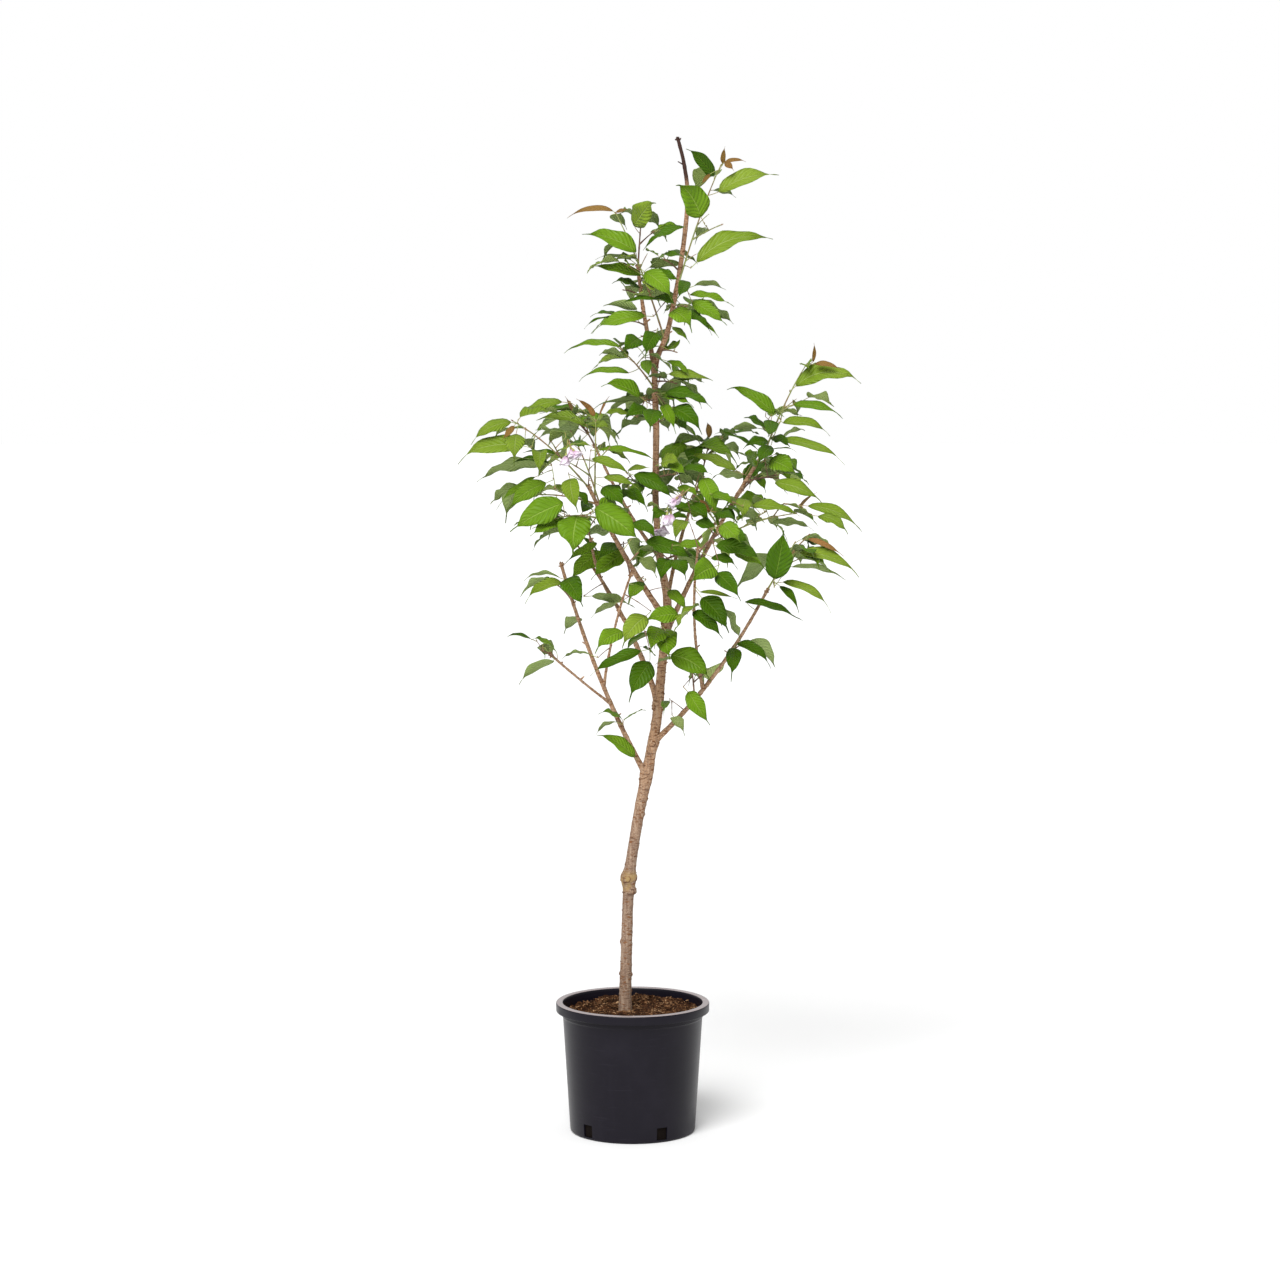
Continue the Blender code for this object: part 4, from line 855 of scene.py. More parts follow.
@dataclass
class GrowthRule:
    """The seeded rule by which the limbs bear stems, twigs, leaves and blossoms."""

    seed: int = 4280
    trunk_sides: int = 9
    bough_sides: int = 6
    bough_rings: int = 7
    bough_taper: float = 0.8
    stem_sides: int = 3
    stem_widths: Range = (0.0046, 0.0030)
    stem_sag: float = 0.06
    stem_segment: float = 0.060
    twig_widths: Range = (0.0036, 0.0030)
    twig_sag: float = 0.03
    twig_share: float = 0.45
    twig_least: float = 0.045
    twig_first: float = 0.40
    twig_spread: float = 0.35
    twig_spacing: Range = (0.8, 1.0)
    twig_turn: float = 0.5
    twig_forward: float = 0.55
    twig_away: float = 0.80
    twig_flatness: float = 0.4
    twig_rise: float = 0.15
    rosette_length: float = 0.075
    rosette_first: float = 0.50
    rosette_lean: float = 0.35
    stem_first: float = 0.22
    twig_leaf_first: float = 0.45
    leaf_last: float = 0.97
    young_place: float = 0.985
    place_play: Range = (0.2, 0.8)
    lean: float = 0.55
    tries: int = 14
    shift: float = 0.25
    margin: float = 0.0012
    own_margin: float = 0.0004
    stalk_length: Range = (0.018, 0.028)
    stalk_forward: float = 0.45
    stalk_away: float = 0.85
    stalk_rise: float = 0.35
    length_play: Range = (0.72, 1.18)
    width_play: Range = (0.88, 1.12)
    width_share: float = 0.50
    droop_deg: Range = (24.0, 54.0)
    sweep_deg: float = 22.0
    roll_deg: float = 34.0
    fold_deg: Range = (14.0, 32.0)
    young_share: float = 0.46
    young_width_share: float = 0.62
    young_stalk_share: float = 0.6
    young_stalk_rise: float = 0.9
    young_pitch_deg: Range = (35.0, 75.0)
    young_droop_deg: Range = (10.0, 30.0)
    blossom_first: float = 0.55
    blossom_step: float = 0.30
    pedicel_drop: float = 0.034
    pedicel_width: float = 0.0024
    pedicel_play: Range = (0.9, 1.3)
    pedicel_swing: float = 0.3
    pedicel_lean: float = 0.5
    small_share: float = 0.55
    small_length: Range = (0.52, 0.80)
    small_seed: int = 9100
    fine_seed: int = 7300
    fine_spacing: float = 0.034
    fine_length: Range = (0.028, 0.062)
    fine_widths: Range = (0.0024, 0.0018)
    fine_first: float = 0.22
    fine_leaves: int = 3
    shown_shifts: tuple[float, ...] = (0.0, -0.012, 0.012, -0.024, 0.024, 0.036, -0.036, 0.05)
    shown_stalk: float = 0.042
    shown_behind: float = 0.012
    shown_inner: float = 0.55
    shown_back: float = 0.30
    foot_near: float = 0.006
    cover_near: float = 9.0
    cover_far: float = 15.0
    covers: KDTree | None = None
    sight: Sight = field(default_factory=Sight)
    leaf_solid: LeafSolid = field(default_factory=LeafSolid)
    blossom_solid: BlossomSolid = field(default_factory=BlossomSolid)

    def limbs(self) -> dict[str, Limb]:
        """Set out the trunk and the boughs.

        Returns:
            The limbs by name, each after the one that carries it.
        """
        points = [Vector((x, y, height)) for height, x, y, _ in TRUNK_LINE]
        limbs = {"trunk": Limb("trunk", points, [width / 2.0 for *_, width in TRUNK_LINE])}
        for row in BOUGHS:
            start = limbs[row.parent].at_height(row.height)
            line = bowed_line(start, Vector(row.tip), Vector(row.bow), self.bough_rings)
            widths = self.bough_widths(row, len(line))
            limbs[row.name] = Limb(row.name, line, [width / 2.0 for width in widths])
        return limbs

    def bough_widths(self, row: Bough, count: int) -> list[float]:
        """Taper a bough's diameter over a number of points."""
        change = row.tip_width - row.foot_width
        return [row.foot_width + change * (k / (count - 1)) ** self.bough_taper for k in range(count)]

    def stem(self, start: Vector, reach: Vector, widths: Range, sag: float) -> Stem:
        """Grow a stem that is lifted along its middle.

        Args:
            start: The stem's foot.
            reach: From its foot to its tip.
            widths: Its diameters at foot and tip.
            sag: Its lift as a share of its length.

        Returns:
            The stem.
        """
        count = max(3, 1 + math.ceil(reach.length / self.stem_segment))
        points = bowed_line(start, start + reach, UP * (sag * reach.length), count)
        change = widths[1] - widths[0]
        return Stem(points, [(widths[0] + change * k / (count - 1)) / 2.0 for k in range(count)])

    def side_twigs(self, row: Spray, stem: Stem, rng: random.Random) -> list[Stem]:
        """Grow twigs on alternate sides of a stem.

        Args:
            row: The spray's sizes.
            stem: The stem that bears them.
            rng: The spray's own seeded source.

        Returns:
            The twigs.
        """
        twigs = []
        length = max(Vector(row.reach).length * self.twig_share, self.twig_least)
        for k in range(row.twigs):
            spacing = rng.uniform(*self.twig_spacing)
            place = self.twig_first + self.twig_spread * k / max(row.twigs - 1, 1) * spacing
            point, direction = stem.along(place)
            across, other = directions_across(direction)
            angle = math.pi * k + rng.uniform(-self.twig_turn, self.twig_turn)
            away = across * math.cos(angle) + other * math.sin(angle) * self.twig_flatness
            way = direction * self.twig_forward + away * self.twig_away + UP * self.twig_rise
            twigs.append(self.stem(point, way.normalized() * length, self.twig_widths, self.twig_sag))
        return twigs

    def leaf_places(self, row: Spray, stems: int, rng: random.Random) -> list[tuple[int, float, LeafKind]]:
        """Deal a spray's leaves out along its stems.

        Args:
            row: The spray's sizes.
            stems: How many stems it has.
            rng: The spray's own seeded source.

        Returns:
            Stem, share along it and kind of each leaf.
        """
        places = []
        rosette = Vector(row.reach).length < self.rosette_length
        ranks = math.ceil(row.leaves / stems)
        for k in range(row.leaves):
            which = k % stems
            first = self.stem_first if which == 0 else self.twig_leaf_first
            first = self.rosette_first if rosette else first
            share = first + (self.leaf_last - first) * (k // stems + rng.uniform(*self.place_play)) / ranks
            places.append((which, share, LeafKind.GROWN))
        places.extend((0, self.young_place, LeafKind.YOUNG) for _ in range(row.young))
        return places

    def propose_leaf(
        self, row: Spray, stem: Stem, share: float, kind: LeafKind, turn: float, rng: random.Random
    ) -> Leaf:
        """Set a leaf at its place, with seeded size, slope and twist.

        Args:
            row: The spray's sizes.
            stem: The stem that bears the leaf.
            share: Share of the stem passed.
            kind: The leaf's kind.
            turn: Its turn about the stem.
            rng: The spray's own seeded source.

        Returns:
            The leaf.
        """
        foot, direction = stem.along(share)
        young = kind is LeafKind.YOUNG
        outward = math.atan2(row.reach[1], row.reach[0])
        lean = self.lean if Vector(row.reach).length > self.rosette_length else self.rosette_lean
        east = math.cos(turn) + lean * math.cos(outward)
        north = math.sin(turn) + lean * math.sin(outward)
        heading = math.atan2(north, east)
        pitch = math.radians(rng.uniform(*(self.young_pitch_deg if young else row.pitch)))
        droop = math.radians(rng.uniform(*(self.young_droop_deg if young else self.droop_deg)))
        length = row.leaf * rng.uniform(*self.length_play) * (self.young_share if young else 1.0)
        narrow = self.young_width_share if young else 1.0
        width = length * self.width_share * rng.uniform(*self.width_play) * narrow
        level = Vector((math.cos(heading), math.sin(heading), 0.0))
        rise = UP * (self.young_stalk_rise if young else self.stalk_rise)
        way = (direction * self.stalk_forward + level * self.stalk_away + rise).normalized()
        neck = foot + way * rng.uniform(*self.stalk_length) * (self.young_stalk_share if young else 1.0)
        sweep = math.radians(rng.uniform(-self.sweep_deg, self.sweep_deg))
        roll = math.radians(rng.uniform(-self.roll_deg, self.roll_deg))
        fold = math.radians(rng.uniform(*self.fold_deg))
        return Leaf(foot, neck, heading, pitch, droop, sweep, roll, fold, length, width, kind)

    def grow_blossoms(self, row: Spray, stem: Stem, rng: random.Random, taken: list[BVHTree]) -> list[Stem]:
        """Hang blossoms from a stem where there is room.

        Args:
            row: The spray's sizes.
            stem: The stem that bears them.
            rng: The spray's own seeded source.
            taken: What they stay clear of.

        Returns:
            Each blossom's stalk.
        """
        stalks = []
        for k in range(row.blossoms):
            top, _ = stem.along(self.blossom_first + self.blossom_step * k)
            swing = Vector((rng.uniform(-self.pedicel_swing, self.pedicel_swing), -self.pedicel_lean, -1.0))
            crown = top + swing.normalized() * self.pedicel_drop * rng.uniform(*self.pedicel_play)
            if not clashes(shell_tree(self.blossom_solid.shell(crown)), taken):
                stalks.append(Stem([top, (top + crown) * 0.5, crown], [self.pedicel_width / 2.0] * 3))
        return stalks

    def grow_leaves(self, spray: GrownSpray, rng: random.Random, taken: list[BVHTree]) -> list[BVHTree]:
        """Deal a spray's leaves out; one that finds no free room is skipped.

        Args:
            spray: The spray, which takes the leaves.
            rng: The spray's own seeded source.
            taken: What they stay clear of.

        Returns:
            A search tree over each leaf.
        """
        own = [line.tree(self.stem_sides, self.own_margin) for line in [*spray.stems, *spray.stalks]]
        own.extend(shell_tree(self.blossom_solid.shell(stalk.points[-1])) for stalk in spray.stalks)
        blades: list[BVHTree] = []
        wholes: list[BVHTree] = []
        turn = rng.uniform(0.0, math.tau)
        for which, share, kind in self.leaf_places(spray.plan, len(spray.stems), rng):
            turn += GOLDEN_TURN
            for attempt in range(self.tries):
                shift = rng.uniform(-self.shift, self.shift) * (1 + attempt)
                leaf = self.propose_leaf(spray.plan, spray.stems[which], share, kind, turn + shift, rng)
                whole = shell_tree(self.leaf_solid.shell(leaf, self.margin))
                blade = shell_tree(self.leaf_solid.shell(leaf, self.own_margin, stalk=False))
                if clashes(whole, taken) or clashes(blade, own):
                    continue
                if clashes(whole, blades) or clashes(blade, wholes):
                    continue
                spray.leaves.append(leaf)
                blades.append(blade)
                wholes.append(whole)
                break
        return wholes

    def covered(self, spray: GrownSpray, places: Iterable[Vector]) -> bool:
        """Tell whether places all show close to leaves that stand out singly, not against the sky."""
        way = self.cover_near if spray.front > -math.inf else self.cover_far
        return all(self.covers.find(self.sight.mark(place))[2] < way for place in places)

    def add_small_leaf(
        self,
        spray: GrownSpray,
        stem: Stem,
        share: float,
        turn: float,
        rng: random.Random,
        taken: list[BVHTree],
    ) -> bool:
        """Add one smaller leaf where there is room.

        Args:
            spray: The spray, which takes the leaf.
            stem: The stem that bears it.
            share: Share of the stem passed.
            turn: Its turn about the stem.
            rng: The spray's own seeded source.
            taken: What it stays clear of, to which it is added.

        Returns:
            Whether there was room.
        """
        leaf = self.propose_leaf(spray.plan, stem, share, LeafKind.SMALL, turn, rng)
        size = rng.uniform(*self.small_length)
        leaf = Leaf(**{**vars(leaf), "length": leaf.length * size, "width": leaf.width * size})
        tree = shell_tree(self.leaf_solid.shell(leaf, self.margin, stalk=False))
        ends = [leaf.neck, *(row[0] for row in leaf.midrib([0.5, 1.0]))]
        if leaf.neck.y < spray.front or not self.covered(spray, ends) or clashes(tree, taken):
            return False
        spray.leaves.append(leaf)
        taken.append(tree)
        return True

    def grow_small_leaves(self, index: int, spray: GrownSpray, taken: list[BVHTree]) -> None:
        """Add smaller leaves between the grown ones, within the spray's own reach.

        Args:
            index: The spray's place in the list.
            spray: The spray, which takes the leaves.
            taken: What they stay clear of, to which they are added.
        """
        rng = random.Random(self.small_seed + index)
        turn = rng.uniform(0.0, math.tau)
        for k in range(round(spray.plan.leaves * self.small_share)):
            stem = spray.stems[k % len(spray.stems)]
            turn += GOLDEN_TURN
            for _ in range(self.tries):
                share = rng.uniform(self.stem_first + 0.1, self.leaf_last)
                turn += self.shift
                if self.add_small_leaf(spray, stem, share, turn, rng, taken):
                    break

    def grow_fine_twigs(self, index: int, spray: GrownSpray, taken: list[BVHTree]) -> None:
        """Carry a spray on into finer twigs that bear small leaves, within the spray's own reach.

        Args:
            index: The spray's place in the list.
            spray: The spray, which takes the twigs and leaves.
            taken: What they stay clear of, to which they are added.
        """
        rng = random.Random(self.fine_seed + index)
        turn = rng.uniform(0.0, math.tau)
        for stem in list(spray.stems):
            count = round((stem.points[-1] - stem.points[0]).length / self.fine_spacing)
            for k in range(count):
                turn += GOLDEN_TURN
                share = self.fine_first + (self.leaf_last - self.fine_first) * (k + rng.random()) / count
                if share > self.shown_inner and spray.front > -math.inf:
                    continue
                start, direction = stem.along(share)
                level = Vector((math.cos(turn), math.sin(turn), self.twig_rise))
                way = (direction * self.twig_forward + level * self.twig_away).normalized()
                reach = way * rng.uniform(*self.fine_length)
                clear = self.stem(start + reach * 0.2, reach * 0.8, self.fine_widths, self.twig_sag)
                tree = clear.tree(self.stem_sides, self.margin)
                if clashes(tree, taken) or not self.covered(spray, [start + reach]):
                    continue
                twig = self.stem(start, reach, self.fine_widths, self.twig_sag)
                spray.fine.append(twig)
                for rank in range(self.fine_leaves):
                    along = 1.0 - 0.3 * rank
                    side = turn + rank * GOLDEN_TURN + rng.uniform(-self.shift, self.shift)
                    for attempt in range(4):
                        if self.add_small_leaf(spray, twig, along, side + 0.6 * attempt, rng, taken):
                            break
                taken.append(tree)

    def place_shown_leaves(
        self, limbs: dict[str, Limb], sprays: list[GrownSpray], taken: list[BVHTree]
    ) -> None:
        """Give the leaves that stand out singly their places, in front of those that the rule has dealt out.

        Args:
            limbs: The limbs by name.
            sprays: The sprays, which take the leaves.
            taken: What small leaves stay clear of, to which they are added.
        """
        wood = [shell_tree(tube_shell(limb.points, limb.radii, self.bough_sides)) for limb in limbs.values()]
        wood.extend(stem.tree(self.stem_sides, 0.0) for spray in sprays for stem in spray.stems)
        placed: list[BVHTree] = []
        shown = [ShownLeaf(spray, *row) for spray, rows in SHOWN_LEAVES.items() for row in rows]
        blades = [row.leaf(self.sight, 0.0) for row in shown]
        shares = [0.0, 0.2, 0.4, 0.6, 0.8, 1.0]
        self.covers = KDTree(len(blades) * len(shares))
        for blade in blades:
            for place, _, _ in blade.midrib(shares):
                self.covers.insert(self.sight.mark(place), 0)
        self.covers.balance()
        for spray in sprays:
            rows = [row for row in shown if row.spray == spray.plan.name]
            if len(rows) > 1:
                spray.front = sum(row.depth for row in rows) / len(rows) + self.shown_behind
                shown_young = any(row.tone is Tone.BRONZE for row in rows)
                spray.leaves = [
                    leaf for leaf in spray.leaves
                    if (leaf.kind is LeafKind.YOUNG and not shown_young)
                    or (leaf.kind is LeafKind.GROWN and leaf.points_back(self.shown_back, spray.front))
                ]
            lines = [*(Stem(limb.points, []) for limb in limbs.values()), *spray.stems]
            for row in rows:
                for shift in self.shown_shifts:
                    leaf = row.leaf(self.sight, shift)
                    tree = shell_tree(self.leaf_solid.shell(leaf, self.own_margin, stalk=False))
                    if not clashes(tree, placed) and not clashes(tree, wood):
                        break
                placed.append(tree)
                spray.leaves.append(self.join_stalk(spray, lines, leaf))
            if spray.front > -math.inf:
                feet = [leaf.foot for leaf in spray.leaves] + [twig.points[0] for twig in spray.fine]
                twigs = [twig.cut_back(feet, self.foot_near) for twig in spray.stems[1:]]
                spray.stems[1:] = [twig for twig in twigs if twig]
        taken.extend(placed)
        for spray in sprays:
            spray.leaves = [
                leaf for leaf in spray.leaves
                if leaf.tone or self.covered(spray, [row[0] for row in leaf.midrib([0.0, 0.5, 1.0])])
                and not clashes(shell_tree(self.leaf_solid.shell(leaf, 0.0, stalk=False)), placed)
            ]

    def join_stalk(self, spray: GrownSpray, lines: list[Stem], leaf: Leaf) -> Leaf:
        """Join a leaf's stalk to the nearest wood, by a fine twig where the stalk alone is too short.

        Args:
            spray: The spray, which takes the twig.
            lines: The wood that may bear the leaf.
            leaf: The leaf.

        Returns:
            The leaf with its stalk's foot on the wood.
        """
        foot = min((line.nearest(leaf.foot) for line in lines), key=lambda point: (point - leaf.foot).length)
        if (foot - leaf.neck).length > self.shown_stalk:
            twig = self.stem(foot, leaf.foot - foot, self.fine_widths, self.twig_sag)
            spray.fine.append(twig)
            lines.append(twig)
            foot = leaf.foot
        return Leaf(**{**vars(leaf), "foot": foot})

    def grow(self) -> tuple[dict[str, Limb], list[GrownSpray]]:
        """Grow the whole tree.

        Returns:
            Its limbs by name, and its sprays.
        """
        limbs = self.limbs()
        taken = []
        for limb in limbs.values():
            sides = self.trunk_sides if limb.name == "trunk" else self.bough_sides
            taken.append(shell_tree(tube_shell(limb.points, limb.radii, sides)))
        roots = [limbs[row.parent].at_height(row.height) for row in SPRAYS]
        stems = [
            self.stem(root, Vector(row.reach), self.stem_widths, self.stem_sag)
            for root, row in zip(roots, SPRAYS)
        ]
        reserved = [stem.tree(self.stem_sides, self.margin) for stem in stems]
        sprays = []
        for index, (row, stem) in enumerate(zip(SPRAYS, stems)):
            rng = random.Random(self.seed + index)
            room = [*taken, *reserved[index + 1 :]]
            twigs = self.side_twigs(row, stem, rng)
            clear = [twig for twig in twigs if not clashes(twig.tree(self.stem_sides, self.margin), room)]
            spray = GrownSpray(row, [stem, *clear])
            spray.stalks = self.grow_blossoms(row, stem, rng, room)
            solids = self.grow_leaves(spray, rng, room)
            solids.extend(line.tree(self.stem_sides, 0.0) for line in [*spray.stems, *spray.stalks])
            solids.extend(shell_tree(self.blossom_solid.shell(stalk.points[-1])) for stalk in spray.stalks)
            taken.extend(solids)
            sprays.append(spray)
        self.place_shown_leaves(limbs, sprays, taken)
        for index, spray in enumerate(sprays):
            if spray.reach > self.rosette_length:
                self.grow_fine_twigs(index, spray, taken)
            self.grow_small_leaves(index, spray, taken)
        return limbs, sprays


@dataclass
class Graph:
    """A material's node tree, with short calls that add and join its nodes."""

    material: bpy.types.Material
    tree: bpy.types.NodeTree = field(init=False)
    shader: bpy.types.Node = field(init=False)

    def __post_init__(self) -> None:
        """Start from the plain Principled shader."""
        self.material.use_nodes = True
        self.tree = self.material.node_tree
        self.shader = self.tree.nodes["Principled BSDF"]

    def add(self, kind: str, **settings: object) -> bpy.types.Node:
        """Add a node.

        Args:
            kind: The node's type.
            settings: Its properties.

        Returns:
            The node.
        """
        node = self.tree.nodes.new(kind)
        for name, value in settings.items():
            setattr(node, name, value)
        return node

    def join(self, source: object, target: bpy.types.NodeSocket) -> None:
        """Feed a socket from another socket, or set it to a plain value."""
        if isinstance(source, bpy.types.NodeSocket):
            self.tree.links.new(source, target)
        else:
            target.default_value = source

    def place(self, stretch: tuple[float, float, float] = (1.0, 1.0, 1.0)) -> bpy.types.NodeSocket:
        """Read the place on the object, in metres, stretched along its axes."""
        coordinates = self.add("ShaderNodeTexCoord")
        mapping = self.add("ShaderNodeMapping")
        mapping.inputs["Scale"].default_value = stretch
        self.join(coordinates.outputs["Object"], mapping.inputs["Vector"])
        return mapping.outputs["Vector"]

    def parts(self, vector: bpy.types.NodeSocket) -> bpy.types.NodeOutputs:
        """Split a place into its X, Y and Z."""
        node = self.add("ShaderNodeSeparateXYZ")
        self.join(vector, node.inputs[0])
        return node.outputs

    def unrolled(self) -> bpy.types.NodeOutputs:
        """Read how far along (X) and across (Y) a place is on the unrolled surface."""
        return self.parts(self.add("ShaderNodeUVMap", uv_map="UVMap").outputs["UV"])

    def speckle(self, vector: bpy.types.NodeSocket, scale: float, detail: float = 3.0) -> object:
        """Make noise.

        Args:
            vector: Where it is read.
            scale: How fine it is.
            detail: How many finer layers it has.

        Returns:
            The noise's strength.
        """
        node = self.add("ShaderNodeTexNoise")
        node.inputs["Scale"].default_value = scale
        node.inputs["Detail"].default_value = detail
        self.join(vector, node.inputs["Vector"])
        return node.outputs["Fac"]

    def sum(self, operation: str, first: object, second: object = 0.0) -> bpy.types.NodeSocket:
        """Work out one sum of two values."""
        node = self.add("ShaderNodeMath", operation=operation)
        self.join(first, node.inputs[0])
        self.join(second, node.inputs[1])
        return node.outputs[0]

    def between(self, value: object, low: float, high: float, start: float = 0.0, end: float = 1.0) -> object:
        """Map a value smoothly from one range to another.

        Args:
            value: The value.
            low: Where the change begins.
            high: Where it ends.
            start: What comes out at its beginning.
            end: What comes out at its end.

        Returns:
            The mapped value's socket.
        """
        node = self.add("ShaderNodeMapRange", interpolation_type="SMOOTHSTEP")
        for name, setting in zip(("From Min", "From Max", "To Min", "To Max"), (low, high, start, end)):
            node.inputs[name].default_value = setting
        self.join(value, node.inputs["Value"])
        return node.outputs["Result"]

    def blend(self, factor: object, first: object, second: object, kind: str = "MIX") -> bpy.types.NodeSocket:
        """Blend two colours.

        Args:
            factor: How much of the second shows.
            first: A colour or a socket.
            second: A colour or a socket.
            kind: The blend's type.

        Returns:
            The blended colour.
        """
        node = self.add("ShaderNodeMix", data_type="RGBA", blend_type=kind)
        self.join(factor, node.inputs[0])
        for colour, target in ((first, node.inputs[6]), (second, node.inputs[7])):
            self.join((*colour, 1.0) if isinstance(colour, tuple) else colour, target)
        return node.outputs[2]

    def relief(self, height: object, distance: float, strength: float = 1.0) -> None:
        """Give the surface a fine relief, over any that it has.

        Args:
            height: The relief's height from 0 to 1.
            distance: How far 1 stands out, in metres.
            strength: How strongly it shows.
        """
        node = self.add("ShaderNodeBump")
        node.inputs["Distance"].default_value = distance
        node.inputs["Strength"].default_value = strength
        self.join(height, node.inputs["Height"])
        normal = self.shader.inputs["Normal"]
        if normal.is_linked:
            self.join(normal.links[0].from_socket, node.inputs["Normal"])
        self.join(node.outputs["Normal"], normal)

    def colour(self, source: object) -> None:
        """Set the surface's colour."""
        self.join((*source, 1.0) if isinstance(source, tuple) else source, self.shader.inputs["Base Color"])

    def set(self, **values: float) -> None:
        """Set the shader's own plain values, with underscores for the spaces in their names."""
        for name, value in values.items():
            self.shader.inputs[name.replace("_", " ")].default_value = value


@dataclass(frozen=True)
class PlasticFinish:
    """Recycled near-black plastic: matt wall and faint dust; its pale copy on the lip's top is painted
    highlight.
    """

    name: str
    base: Colour
    dust_and_highlight: Colour
    specular: float
    smooth: float
    rough: float

    def make(self) -> bpy.types.Material:
        """Make the material."""
        graph = Graph(bpy.data.materials.new(self.name))
        place = graph.place()
        height = graph.parts(place)["Z"]
        dust = graph.between(graph.speckle(place, 9.0, 6.0), 0.48, 0.80)
        streaks = graph.between(graph.speckle(graph.place((22.0, 22.0, 1.6)), 2.0, 3.0), 0.50, 0.78, 0.0, 0.5)
        low = graph.between(height, 0.10, 0.0, 0.0, 0.45)
        scuffs = graph.between(graph.speckle(graph.place((6.0, 6.0, 120.0)), 3.0, 4.0), 0.60, 0.72, 0.0, 0.55)
        # Dust, streaks and scuffs on the wall; on the pale lip copy this mask only varies the painted
        # highlight.
        wear_and_highlight = graph.sum("MAXIMUM", graph.sum("MULTIPLY", dust, 0.45), graph.sum("MULTIPLY", low, dust))
        wear_and_highlight = graph.sum("MAXIMUM", wear_and_highlight, graph.sum("MULTIPLY", streaks, 0.35))
        wear_and_highlight = graph.sum("MAXIMUM", wear_and_highlight, scuffs)
        graph.colour(graph.blend(wear_and_highlight, self.base, self.dust_and_highlight))
        graph.join(graph.between(dust, 0.0, 1.0, self.smooth, self.rough), graph.shader.inputs["Roughness"])
        graph.set(Specular_IOR_Level=self.specular)
        graph.relief(graph.speckle(place, 900.0, 2.0), 0.00012, 0.5)
        graph.relief(graph.speckle(graph.place((3.0, 3.0, 14.0)), 3.0, 2.0), 0.0012, 0.35)
        return graph.material


@dataclass(frozen=True)
class CoirFinish:
    """Damp coir and bark fines in one of their tones, with painted shade turning them near black low in the
    pot.
    """

    name: str
    dark: Colour
    light: Colour
    # Painted shade: near black for the coir low in the pot, where the notches show it.
    depth: Colour = (0.006, 0.004, 0.003)

    def make(self) -> bpy.types.Material:
        """Make the material."""
        graph = Graph(bpy.data.materials.new(self.name))
        place = graph.place()
        grains = graph.between(graph.speckle(place, 260.0, 5.0), 0.34, 0.62)
        clods = graph.between(graph.speckle(place, 38.0, 3.0), 0.28, 0.60)
        tone = graph.blend(grains, self.dark, graph.blend(clods, self.dark, self.light))
        height = graph.parts(place)["Z"]
        # Painted shade: blend to near black below the coir's top.
        graph.colour(graph.blend(graph.between(height, 0.24, 0.10), tone, self.depth))
        graph.set(Roughness=0.95, Specular_IOR_Level=0.08)
        graph.relief(graph.speckle(place, 420.0, 5.0), 0.0016)
        return graph.material


@dataclass(frozen=True)
class BarkFinish:
    """Young cherry bark: tan low down, redder up the leaders, with level lenticels and grey scurf."""

    name: str = "young_cherry_bark"
    tan: Colour = (0.240, 0.155, 0.105)
    rosy: Colour = (0.440, 0.250, 0.135)
    pale: Colour = (0.500, 0.390, 0.290)
    grey: Colour = (0.130, 0.082, 0.060)
    red: Colour = (0.400, 0.215, 0.118)
    dark: Colour = (0.095, 0.045, 0.026)
    dead: Colour = (0.050, 0.024, 0.018)
    ochre: Colour = (0.330, 0.220, 0.085)
    lenticel: Colour = (0.190, 0.078, 0.030)
    graft_height: float = 0.582

    def make(self) -> bpy.types.Material:
        """Make the material."""
        graph = Graph(bpy.data.materials.new(self.name))
        place = graph.place()
        height = graph.parts(place)["Z"]
        base = graph.blend(graph.between(height, 0.60, 0.95, 0.0, 0.8), self.tan, self.rosy)
        base = graph.blend(graph.between(height, 1.30, 1.90), base, self.red)
        strands = graph.speckle(graph.place((210.0, 210.0, 16.0)), 1.0, 4.0)
        base = graph.blend(graph.between(strands, 0.50, 0.36, 0.0, 0.38), base, self.grey)
        crumbs = graph.speckle(graph.place((300.0, 300.0, 520.0)), 1.0, 4.0)
        base = graph.blend(graph.between(crumbs, 0.50, 0.38, 0.0, 0.55), base, self.grey)
        base = graph.blend(graph.between(crumbs, 0.55, 0.66, 0.0, 0.45), base, self.pale)
        light = graph.between(height, 1.20, 2.00, 0.30, 0.15)
        scurf = graph.between(strands, 0.50, 0.66)
        base = graph.blend(graph.sum("MULTIPLY", scurf, light), base, self.pale)
        mottle = graph.between(graph.speckle(place, 120.0, 5.0), 0.56, 0.70, 0.0, 0.5)
        base = graph.blend(mottle, base, self.grey)
        lines = graph.speckle(graph.place((38.0, 38.0, 400.0)), 1.0, 2.0)
        lines = graph.between(lines, 0.62, 0.68, 0.0, 0.60)
        base = graph.blend(lines, base, self.dark)
        marks = graph.between(graph.speckle(graph.place((80.0, 80.0, 300.0)), 1.0, 1.0), 0.60, 0.66)
        base = graph.blend(marks, base, self.lenticel)
        near = graph.sum("ABSOLUTE", graph.sum("SUBTRACT", height, self.graft_height))
        rough = graph.between(graph.speckle(place, 60.0, 4.0), 0.36, 0.60)
        graft = graph.sum("MULTIPLY", graph.between(near, 0.034, 0.010), rough)
        base = graph.blend(graph.sum("MULTIPLY", graft, 0.85), base, self.ochre)
        base = graph.blend(graph.between(height, 2.165, 2.205), base, self.dead)
        graph.colour(base)
        graph.join(graph.between(strands, 0.35, 0.65, 0.80, 0.62), graph.shader.inputs["Roughness"])
        graph.set(Specular_IOR_Level=0.18)
        graph.relief(graph.sum("SUBTRACT", marks, lines), 0.0007, 0.9)
        graph.relief(strands, 0.0011, 0.7)
        graph.relief(graph.speckle(place, 700.0, 3.0), 0.0003, 0.5)
        return graph.material


